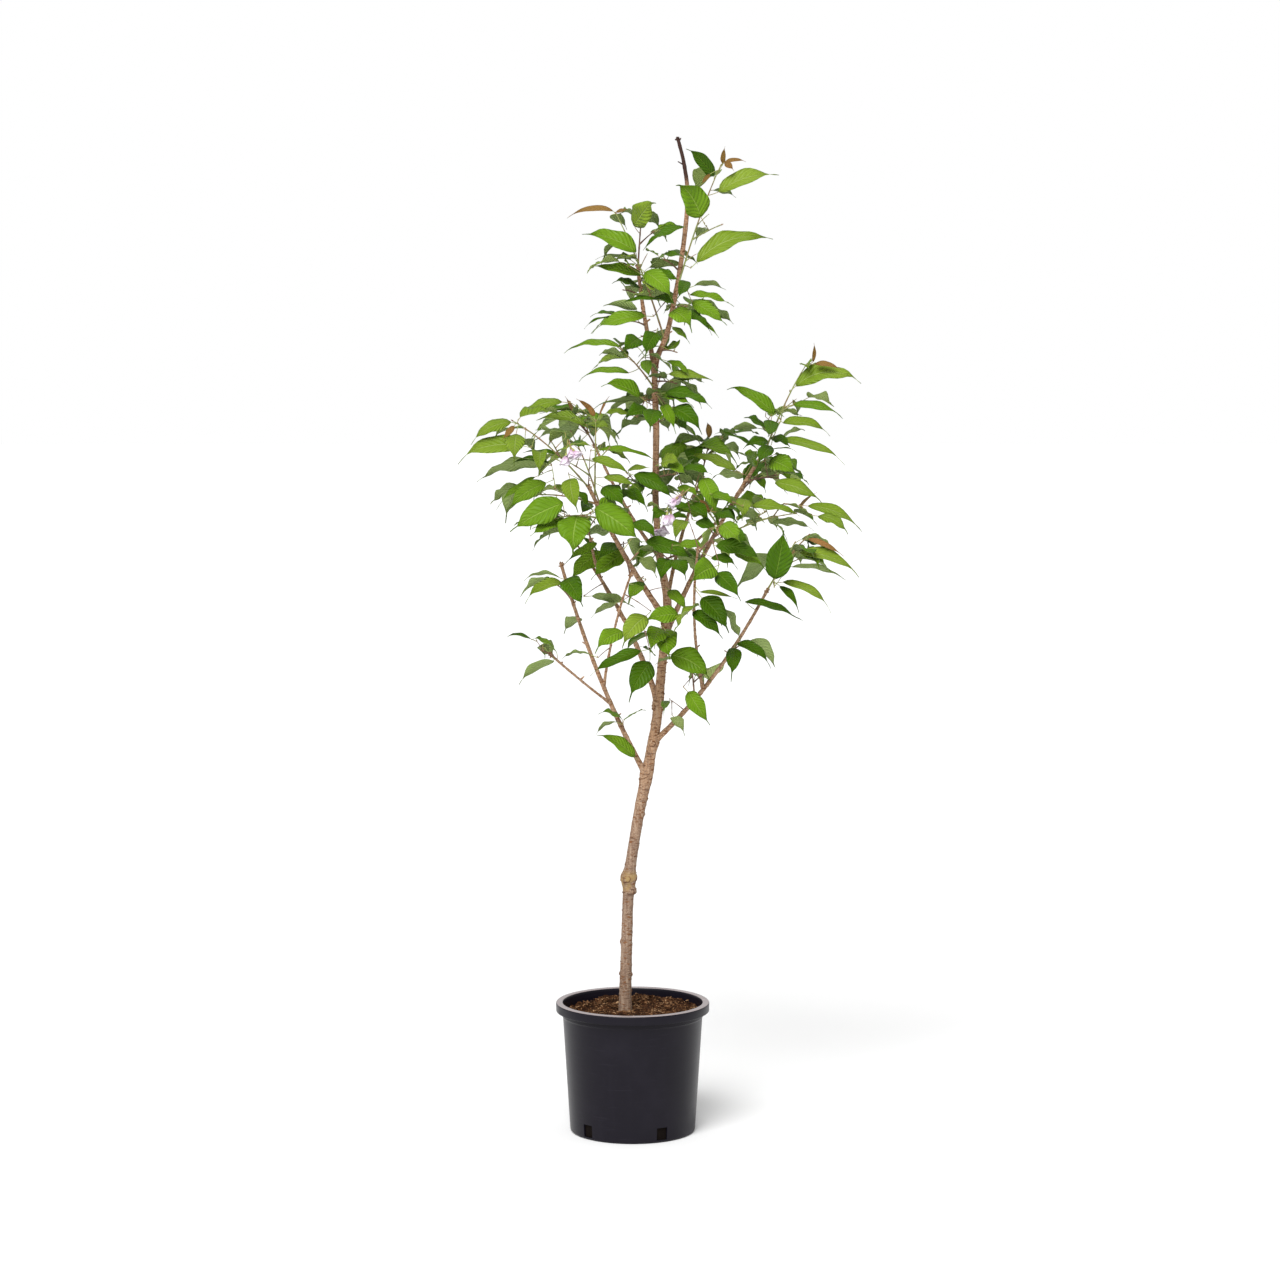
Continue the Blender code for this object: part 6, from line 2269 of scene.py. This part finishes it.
    def roll_bough(self, bm: bmesh.types.BMesh, row: Bough) -> None:
        """Roll one bough with its flared foot, its nodes and its swollen tip.

        Args:
            bm: The shape that takes it.
            row: The bough's sizes.
        """
        parent = self.limbs[row.parent]
        start, tip = parent.at_height(row.height), Vector(row.tip)
        count = max(12, round((tip - start).length / self.step))
        points = bowed_line(start, tip, Vector(row.bow), count)
        radii = [width / 2.0 for width in self.rule.bough_widths(row, count)]
        length = (tip - start).length
        flare = row.foot_width * self.flare_share
        spacing, node = self.bough_nodes
        swell_reach, swell = self.tip_swell

        def stand(ring: int, spoke: Vector, place: Vector) -> float:
            """Read how far the bough's bark stands out."""
            gone = length * ring / (count - 1)
            past = max(0.0, gone - self.flare_reach) / self.flare_reach
            total = self.grain(place) * 0.65 + flare * math.exp(-past)
            total += node * max(0.0, math.sin(gone * math.tau / spacing)) ** 10
            return total + swell * math.exp(-(length - gone) / swell_reach)

        roll_tube(bm, points, radii, self.bough_sides, stand)

    def roll_stubs(self, bm: bmesh.types.BMesh) -> None:
        """Roll short cut stubs and scale scars along the boughs and up the leaders.

        Args:
            bm: The shape that takes them.
        """
        rng = random.Random(self.stub_seed)
        for limb in self.limbs.values():
            trunk = limb.name == "trunk"
            low = self.stub_first_height if trunk else limb.points[1].z + 0.03
            high = limb.points[-1].z - 0.015
            count = self.leader_stubs if trunk else self.bough_stubs
            for k in range(count):
                start = limb.at_height(low + (high - low) * (k + rng.uniform(0.2, 0.8)) / count)
                turn = k * GOLDEN_TURN + rng.uniform(-0.4, 0.4)
                level = Vector((math.cos(turn), math.sin(turn), rng.uniform(0.4, 0.9))).normalized()
                length = limb.radii[-1] + rng.uniform(*self.stub_length)
                width = rng.uniform(*self.stub_radius)
                points = [start + level * (length * share) for share in (0.0, 0.45, 0.70, 0.88, 1.0)]
                roll_tube(bm, points, [width * 1.5, width * 1.3, width, width * 1.15, width * 0.7], 6)
            tip = limb.points[-1]
            along = (tip - limb.points[-2]).normalized()
            across, other = directions_across(along)
            for k in range(self.tip_buds):
                out = across * math.cos(k * GOLDEN_TURN) + other * math.sin(k * GOLDEN_TURN)
                way = (along * rng.uniform(0.2, 1.0) + out).normalized()
                foot = tip - along * rng.uniform(0.001, 0.012)
                length = limb.radii[-1] + rng.uniform(*self.tip_bud_length)
                points = [foot + way * (length * share) for share in (0.0, 0.5, 0.8, 1.0)]
                roll_tube(bm, points, self.tip_bud_radii, 6)


@dataclass
class TwigWork:
    """Shoots, spurs, leaf stalks and buds."""

    rule: GrowthRule
    sprays: list[GrownSpray]
    shoot_reach: float = 0.115
    tip_share: float = 0.70
    stalk_widths: Range = (0.0019, 0.0014)
    blossom_stalk_radius: float = 0.0009
    tip_bud: float = 0.007
    side_bud: float = 0.0052
    node_spacing: float = 0.030
    stem_step: float = 0.007
    shoot: TwigFinish = TwigFinish("green_shoot_skin", (0.235, 0.270, 0.075), (0.250, 0.125, 0.055))
    spur: TwigFinish = TwigFinish("brown_spur_skin", (0.200, 0.105, 0.060), (0.110, 0.055, 0.035), 0.7)
    stalk: TwigFinish = TwigFinish("leaf_stalk_skin", (0.270, 0.330, 0.085), (0.300, 0.170, 0.065))
    bud: TwigFinish = TwigFinish("bud_scale_skin", (0.190, 0.090, 0.045), (0.290, 0.200, 0.090), 0.6)

    def build(self) -> None:
        """Build and dress every kind, each as one piece."""
        for name, green, finish in (("green_shoots", True, self.shoot), ("brown_spurs", False, self.spur)):
            bm = new_bmesh()
            chosen = [spray for spray in self.sprays if (spray.reach > self.shoot_reach) is green]
            for spray in chosen:
                for k, stem in enumerate([*spray.stems, *spray.fine]):
                    self.roll_stem(bm, stem, self.rule.twig_sag if k else self.rule.stem_sag)
            seal_tubes(bm)
            finish_piece(name, bm, [finish.make()], [spray.plan.node for spray in chosen])
        self.roll_stalks()
        self.roll_buds()

    def roll_stem(self, bm: bmesh.types.BMesh, stem: Stem, sag: float) -> None:
        """Roll one stem with a light swelling at its nodes.

        Args:
            bm: The shape that takes it.
            stem: The stem.
            sag: Its lift as a share of its length.
        """
        start, end = stem.points[0], stem.points[-1]
        length = (end - start).length
        count = max(8, round(length / self.stem_step))
        points = bowed_line(start, end, UP * (sag * length), count)
        foot, tip = stem.radii[0], stem.radii[-1] * self.tip_share
        radii = [foot + (tip - foot) * k / (count - 1) for k in range(count)]

        def stand(ring: int, spoke: Vector, place: Vector) -> float:
            """Read how far the stem's nodes stand out."""
            knot = max(0.0, math.sin(length * ring / (count - 1) * math.tau / self.node_spacing)) ** 6
            return 0.00045 * knot + 0.00012 * noise.noise(place * 300.0)

        roll_tube(bm, points, radii, 7, stand)

    def roll_stalks(self) -> None:
        """Roll the stalks of all leaves."""
        bm = new_bmesh()
        for spray in self.sprays:
            for leaf in spray.leaves:
                along = leaf.axes(0.0)[0]
                end = leaf.neck + along * (leaf.length * 0.02)
                bow = (leaf.neck - along * 0.006 - (leaf.foot + leaf.neck) * 0.5) * 0.5
                points = bowed_line(leaf.foot, end, bow * 0.6, 5)
                foot, neck = self.stalk_widths
                roll_tube(bm, points, [(foot + (neck - foot) * k / 4.0) / 2.0 for k in range(5)], 5)
            for stalk in spray.stalks:
                roll_tube(bm, stalk.points, [self.blossom_stalk_radius] * len(stalk.points), 5)
        seal_tubes(bm)
        names = [spray.plan.node for spray in self.sprays]
        finish_piece("leaf_stalks", bm, [self.stalk.make()], names)

    def roll_buds(self) -> None:
        """Roll a small pointed bud above each grown leaf's foot, and at each shoot's tip."""
        bm = new_bmesh()
        for spray in self.sprays:
            for stem in spray.stems:
                point, direction = stem.along(1.0)
                self.roll_bud(bm, point - direction * 0.002, direction, self.tip_bud)
            for leaf in spray.leaves:
                if leaf.kind is LeafKind.GROWN:
                    way = ((leaf.neck - leaf.foot).normalized() + UP * 1.2).normalized()
                    self.roll_bud(bm, leaf.foot + UP * 0.0008, way, self.side_bud)
        seal_tubes(bm)
        finish_piece("leaf_buds", bm, [self.bud.make()], [])

    def roll_bud(self, bm: bmesh.types.BMesh, foot: Vector, way: Vector, length: float) -> None:
        """Roll one pointed bud.

        Args:
            bm: The shape that takes it.
            foot: Its foot.
            way: Its direction.
            length: Its length.
        """
        points = [foot + way * (length * share) for share in (0.0, 0.3, 0.65, 1.0)]
        roll_tube(bm, points, [length * share for share in (0.18, 0.25, 0.19, 0.03)], 5)


@dataclass
class LeafWork:
    """Every leaf as a thin folded and waved blade with a drawn-out tip, in its own outline."""

    sprays: list[GrownSpray]
    stations: int = 14
    lanes: int = 4
    thickness: float = 0.00045
    body_end: float = 0.83
    base_fullness: float = 0.64
    tip_fullness: float = 0.90
    tail_width: float = 0.085
    seed: int = 640
    ripple_share: Range = (0.045, 0.125)
    young_ripple_share: float = 0.02
    cycles: Range = (1.5, 3.0)
    fold_play: Range = (0.85, 1.65)
    arch_share: Range = (0.08, 0.30)
    hook_share: Range = (-0.02, 0.10)
    bend_share: float = 0.045
    fresh: tuple[str, ...] = (
        "top_right", "right_shoot", "left_outer", "left_shoot", "top_left", "left_back",
    )
    bright: tuple[str, ...] = (
        "front_left", "front_low", "front_foot", "front_right", "front_mid", "left_front",
    )
    deep: tuple[str, ...] = (
        "leader_low", "leader_mid", "fork", "mid_back", "centre_left", "centre_low", "centre_right",
        "back_mid", "left_mid",
    )
    tops: dict[Tone, tuple[Colour, ...]] = field(default_factory=lambda: {
        FRESH: ((0.200, 0.290, 0.026), (0.142, 0.230, 0.012), (0.330, 0.425, 0.110)),
        MID: ((0.152, 0.276, 0.012), (0.096, 0.202, 0.004), (0.265, 0.390, 0.066)),
        DEEP: ((0.066, 0.154, 0.003), (0.040, 0.102, 0.001), (0.140, 0.240, 0.026)),
        BRONZE: ((0.350, 0.160, 0.052), (0.255, 0.155, 0.036), (0.480, 0.300, 0.120)),
    })
    undersides: dict[Tone, tuple[Colour, ...]] = field(default_factory=lambda: {
        FRESH: ((0.330, 0.420, 0.130), (0.260, 0.350, 0.090), (0.430, 0.500, 0.200)),
        MID: ((0.270, 0.355, 0.120), (0.215, 0.295, 0.088), (0.370, 0.440, 0.180)),
        DEEP: ((0.215, 0.290, 0.100), (0.170, 0.240, 0.072), (0.310, 0.375, 0.150)),
        BRONZE: ((0.380, 0.200, 0.095), (0.300, 0.190, 0.075), (0.500, 0.330, 0.160)),
    })

    def outline(self, share: float) -> float:
        """Read the blade's half width, as a share of its fullest, at a share of its length.

        Args:
            share: Share of the length.

        Returns:
            The half width's share.
        """
        peak = self.base_fullness / (self.base_fullness + self.tip_fullness)
        body = min(max(share, 0.004) / self.body_end, 1.0)
        swell = (body / peak) ** self.base_fullness * ((1.0 - body) / (1.0 - peak)) ** self.tip_fullness
        return max(swell, 0.03) + self.tail_width * math.sqrt(max(1.0 - share, 0.0)) * min(1.0, 4.0 * share)

    def shape(self, bm: bmesh.types.BMesh, leaf: Leaf, rng: random.Random) -> None:
        """Shape one blade from a grid.

        Args:
            bm: The shape that takes it.
            leaf: The leaf.
            rng: The leaves' own seeded source.
        """
        lines = [(leaf.neck, *leaf.axes(0.0)[1:])]
        lines.extend(leaf.midrib([k / self.stations for k in range(1, self.stations + 1)]))
        young = leaf.kind is LeafKind.YOUNG
        ripple = leaf.width * (self.young_ripple_share if young else rng.uniform(*self.ripple_share))
        cycles = rng.uniform(*self.cycles)
        fold = leaf.fold * rng.uniform(*self.fold_play)
        phases = (rng.uniform(0.0, 1.0), rng.uniform(0.0, 1.0))
        arch = rng.uniform(*self.arch_share)
        hook = leaf.length * rng.uniform(*self.hook_share)
        bend = leaf.length * rng.uniform(-self.bend_share, self.bend_share)
        for vertex in add_grid(bm, self.stations, self.lanes):
            along = round((vertex.co.x + 0.5) * self.stations)
            out = vertex.co.y * 2.0
            share = along / self.stations
            point, side, up = lines[along]
            half = leaf.width / 2.0 * self.outline(share)
            away = abs(out)
            phase = phases[0] if out > 0.0 else phases[1]
            wave = math.sin(math.tau * (cycles * share + phase)) * away**1.6 * min(1.0, 2.5 * share)
            lift = half * (math.sin(fold) * away - arch * away * away)
            lift += ripple * wave * min(1.0, 6.0 * (1.0 - share))
            spread = half * math.cos(fold) * (1.0 + 0.045 * math.sin(math.tau * (2.1 * share + phase)))
            drop = hook * max(0.0, (share - 0.75) / 0.25) ** 2
            aside = bend * math.sin(math.pi * share) - spread * out
            vertex.co = point + side * aside + up * lift - UP * drop

    def tone_of(self, spray: GrownSpray, leaf: Leaf, rng: random.Random) -> Tone:
        """Deal a leaf its tone.

        Args:
            spray: The leaf's spray.
            leaf: The leaf.
            rng: The leaves' own seeded source.

        Returns:
            The tone.
        """
        chance = rng.random()
        name = spray.plan.name
        if leaf.tone:
            return leaf.tone
        if leaf.kind is LeafKind.YOUNG:
            return BRONZE
        if name in self.fresh:
            return FRESH if chance < 0.62 else MID
        if name in self.bright:
            return FRESH if chance < 0.22 else (MID if chance < 0.85 else DEEP)
        if name in self.deep:
            return MID if chance < 0.40 else DEEP
        return FRESH if chance < 0.12 else (MID if chance < 0.68 else DEEP)

    def build(self) -> None:
        """Build and dress the leaves, each tone as one piece."""
        rng = random.Random(self.seed)
        shapes = {tone: new_bmesh() for tone in Tone}
        names: dict[Tone, set[str]] = {tone: set() for tone in Tone}
        for spray in self.sprays:
            for leaf in spray.leaves:
                tone = self.tone_of(spray, leaf, rng)
                self.shape(shapes[tone], leaf, rng)
                names[tone].add(spray.plan.node)
        for tone, bm in shapes.items():
            top = LeafFinish(f"{tone.value}_leaf_top", *self.tops[tone])
            under = LeafFinish(f"{tone.value}_leaf_under", *self.undersides[tone], LeafSide.UNDER)
            finishes, nodes = [top.make(), under.make()], sorted(names[tone])
            finish_piece(f"leaves_{tone.value}", bm, finishes, nodes, 0.0, self.thickness)


@dataclass(frozen=True)
class ShownBlossom:
    """A blossom that stands out singly: its stalk's ends in the picture, its depth and how far it is open."""

    spray: str
    foot_across: float
    foot_down: float
    crown_across: float
    crown_down: float
    depth: float
    open_share: float

    def stalk(self, sight: Sight) -> Stem:
        """Set its stalk at its place."""
        foot = sight.spot(self.foot_across, self.foot_down, self.depth)
        crown = sight.spot(self.crown_across, self.crown_down, self.depth - 0.004)
        return Stem([foot, (foot + crown) * 0.5, crown], [])


SHOWN_BLOSSOMS = (
    ShownBlossom("left_shoot", 568, 439, 566, 456, -0.15, 0.62),
    ShownBlossom("left_shoot", 567, 441, 574, 451, -0.16, 0.95),
    ShownBlossom("left_shoot", 569, 440, 571, 449, -0.15, 0.85),
    ShownBlossom("centre_front", 690, 488, 681, 496, -0.12, 0.45),
    ShownBlossom("centre_front", 684, 490, 676, 499, -0.13, 0.55),
    ShownBlossom("centre_front", 668, 505, 667, 515, -0.13, 0.42),
    ShownBlossom("centre_front", 671, 506, 671, 514, -0.12, 0.30),
)


@dataclass
class BlossomWork:
    """Hanging pink blossoms with their calyx cups and stamens."""

    sprays: list[GrownSpray]
    petals: int = 5
    petal_length: float = 0.026
    petal_width: float = 0.0200
    petal_thickness: float = 0.0004
    inner_petals: int = 3
    outer_open_deg: Range = (40.0, 62.0)
    inner_open_deg: Range = (18.0, 34.0)
    outer_size: Range = (0.92, 1.05)
    inner_size: Range = (0.80, 0.92)
    cup_length: float = 0.0075
    cup_radii: tuple[float, ...] = (0.0013, 0.0024, 0.0030, 0.0026)
    stalk_radius: float = 0.0009
    stamens: int = 9
    stamen_length: Range = (0.009, 0.013)
    stamen_radii: tuple[float, ...] = (0.00022, 0.0002, 0.0002, 0.0006, 0.0003)
    seed: int = 33
    sight: Sight = field(default_factory=Sight)
    petal: PetalFinish = PetalFinish("pink_petal", (0.600, 0.400, 0.540), (0.800, 0.720, 0.810))
    cup: TwigFinish = TwigFinish("calyx_skin", (0.300, 0.330, 0.080), (0.350, 0.110, 0.080))
    stamen: PetalFinish = PetalFinish("stamen_thread", (0.700, 0.480, 0.520), (0.780, 0.600, 0.250))

    def build(self) -> None:
        """Build and dress the petals, cups and stamens, each kind as one piece."""
        rng = random.Random(self.seed)
        petals, cups, stamens = new_bmesh(), new_bmesh(), new_bmesh()
        nodes = []
        flowers = [(spray.plan.node, stalk, 1.0) for spray in self.sprays for stalk in spray.stalks]
        for row in SHOWN_BLOSSOMS:
            stalk = row.stalk(self.sight)
            flowers.append((f"foliage_{row.spray}", stalk, row.open_share))
            roll_tube(cups, stalk.points, [self.stalk_radius] * 3, 5)
        for node, stalk, opened in flowers:
            crown = stalk.points[-1]
            hang = (crown - stalk.points[0]).normalized()
            nodes.append(node)
            self.open_petals(petals, crown, hang, opened, rng)
            points = [crown - hang * (self.cup_length * share) for share in (1.0, 0.6, 0.25, -0.1)]
            roll_tube(cups, points, self.cup_radii, 8)
            self.set_stamens(stamens, crown, hang, opened, rng)
        seal_tubes(cups)
        seal_tubes(stamens)
        petal = self.petal.make()
        finish_piece("blossom_petals", petals, [petal], nodes, 0.0, self.petal_thickness)
        finish_piece("blossom_cups", cups, [self.cup.make()], [])
        finish_piece("blossom_stamens", stamens, [self.stamen.make()], [])

    def open_petals(
        self, bm: bmesh.types.BMesh, crown: Vector, hang: Vector, opened: float, rng: random.Random
    ) -> None:
        """Open one blossom's petals round its crown, five outer and three inner ones.

        Args:
            bm: The shape that takes them.
            crown: The blossom's middle.
            hang: The way it hangs.
            opened: How far it is open.
            rng: The blossoms' own seeded source.
        """
        across, other = directions_across(hang)
        first = rng.uniform(0.0, math.tau)
        for k in range(self.petals + self.inner_petals):
            inner = k >= self.petals
            turn = first + math.tau * k / (self.inner_petals if inner else self.petals)
            out = across * math.cos(turn) + other * math.sin(turn)
            side = hang.cross(out)
            open_deg = opened * rng.uniform(*(self.inner_open_deg if inner else self.outer_open_deg))
            size = rng.uniform(*(self.inner_size if inner else self.outer_size))
            for vertex in add_grid(bm, 5, 4):
                share, wide = vertex.co.x + 0.5, vertex.co.y * 2.0
                bend = math.radians(open_deg * (0.35 + 0.65 * share))
                away = self.petal_length * size * share * (1.0 - 0.10 * wide * wide * share)
                notch = 0.10 * self.petal_length * max(0.0, 1.0 - 3.0 * abs(wide)) * share**6
                half = self.petal_width * 0.5 * size * math.sin(math.pi * (0.10 + 0.68 * share)) ** 1.1
                reach = out * (math.sin(bend) * away) + hang * (math.cos(bend) * (away - notch))
                crinkle = 0.0012 * math.sin(7.0 * share + 4.0 * wide) * share
                cup = out * (-0.0022 * wide * wide * share) + hang * crinkle
                vertex.co = crown + reach + side * (half * wide) + cup

    def set_stamens(
        self, bm: bmesh.types.BMesh, crown: Vector, hang: Vector, opened: float, rng: random.Random
    ) -> None:
        """Set thin stamens in one blossom's middle.

        Args:
            bm: The shape that takes them.
            crown: The blossom's middle.
            hang: The way it hangs.
            opened: How far it is open.
            rng: The blossoms' own seeded source.
        """
        across, other = directions_across(hang)
        for k in range(self.stamens):
            turn = k * GOLDEN_TURN
            way = hang + (across * math.cos(turn) + other * math.sin(turn)) * rng.uniform(0.12, 0.42) * opened
            length = rng.uniform(*self.stamen_length)
            points = [crown + way.normalized() * (length * share) for share in (0.0, 0.5, 0.86, 0.93, 1.0)]
            roll_tube(bm, points, self.stamen_radii, 4)


@dataclass
class Studio:
    """The pale floor, the soft light and the camera."""

    floor_size: float = 160.0
    floor_drop: float = 0.0002
    sight: Sight = field(default_factory=Sight)
    sky: float = 0.62
    sun: float = 3.3
    sun_angle_deg: float = 36.0
    sun_turn_deg: tuple[float, float, float] = (44.0, -18.0, 0.0)
    floor: FloorFinish = field(default_factory=FloorFinish)

    def build(self) -> None:
        """Set up the whole studio."""
        self.lay_floor()
        self.light_sky()
        self.light_sun()
        self.place_camera()

    def lay_floor(self) -> None:
        """Lay the floor just under the pot."""
        bm = bmesh.new()
        bmesh.ops.create_grid(bm, x_segments=1, y_segments=1, size=self.floor_size / 2.0)
        mesh = bpy.data.meshes.new("studio_floor")
        bm.to_mesh(mesh)
        bm.free()
        mesh.materials.append(self.floor.make())
        floor = bpy.data.objects.new("studio_floor", mesh)
        bpy.context.scene.collection.objects.link(floor)
        floor.location.z = -self.floor_drop

    def light_sky(self) -> None:
        """Light all round from a white sky, which shows white behind the tree."""
        world = bpy.data.worlds.new("studio_sky")
        bpy.context.scene.world = world
        world.use_nodes = True
        nodes, links = world.node_tree.nodes, world.node_tree.links
        soft = nodes["Background"]
        soft.inputs["Color"].default_value = (1.0, 1.0, 1.0, 1.0)
        soft.inputs["Strength"].default_value = self.sky
        shown = nodes.new("ShaderNodeBackground")
        shown.inputs["Color"].default_value = (1.0, 1.0, 1.0, 1.0)
        path = nodes.new("ShaderNodeLightPath")
        mix = nodes.new("ShaderNodeMixShader")
        links.new(path.outputs["Is Camera Ray"], mix.inputs[0])
        links.new(soft.outputs[0], mix.inputs[1])
        links.new(shown.outputs[0], mix.inputs[2])
        links.new(mix.outputs[0], nodes["World Output"].inputs["Surface"])

    def light_sun(self) -> None:
        """Light from above, in front and to the left, with soft shadows."""
        lamp = bpy.data.lights.new("soft_key", "SUN")
        lamp.energy = self.sun
        lamp.angle = math.radians(self.sun_angle_deg)
        key = bpy.data.objects.new("soft_key", lamp)
        key.rotation_euler = [math.radians(turn) for turn in self.sun_turn_deg]
        bpy.context.scene.collection.objects.link(key)

    def place_camera(self) -> None:
        """Set the camera where the photograph was taken from."""
        lens = bpy.data.cameras.new("camera")
        lens.lens = self.sight.lens
        lens.sensor_width = self.sight.sensor
        camera = bpy.data.objects.new("camera", lens)
        camera.location = self.sight.place
        camera.rotation_euler = (math.radians(90.0 - self.sight.dip_deg), 0.0, 0.0)
        bpy.context.scene.collection.objects.link(camera)
        bpy.context.scene.camera = camera
        bpy.context.scene.view_settings.view_transform = "Standard"


def main() -> None:
    """Build and dress the tree, its pot and the studio."""
    logging.basicConfig(level=logging.INFO, format="%(name)s: %(message)s")
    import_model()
    rule = GrowthRule()
    limbs, sprays = rule.grow()
    LOG.info("leaves: %d", sum(len(spray.leaves) for spray in sprays))
    pot = PotSkin()
    pot.build()
    CoirFilling(pot).build()
    BarkSkin(rule, limbs).build()
    TwigWork(rule, sprays).build()
    LeafWork(sprays).build()
    BlossomWork(sprays).build()
    Studio().build()


if __name__ == "__main__":
    main()
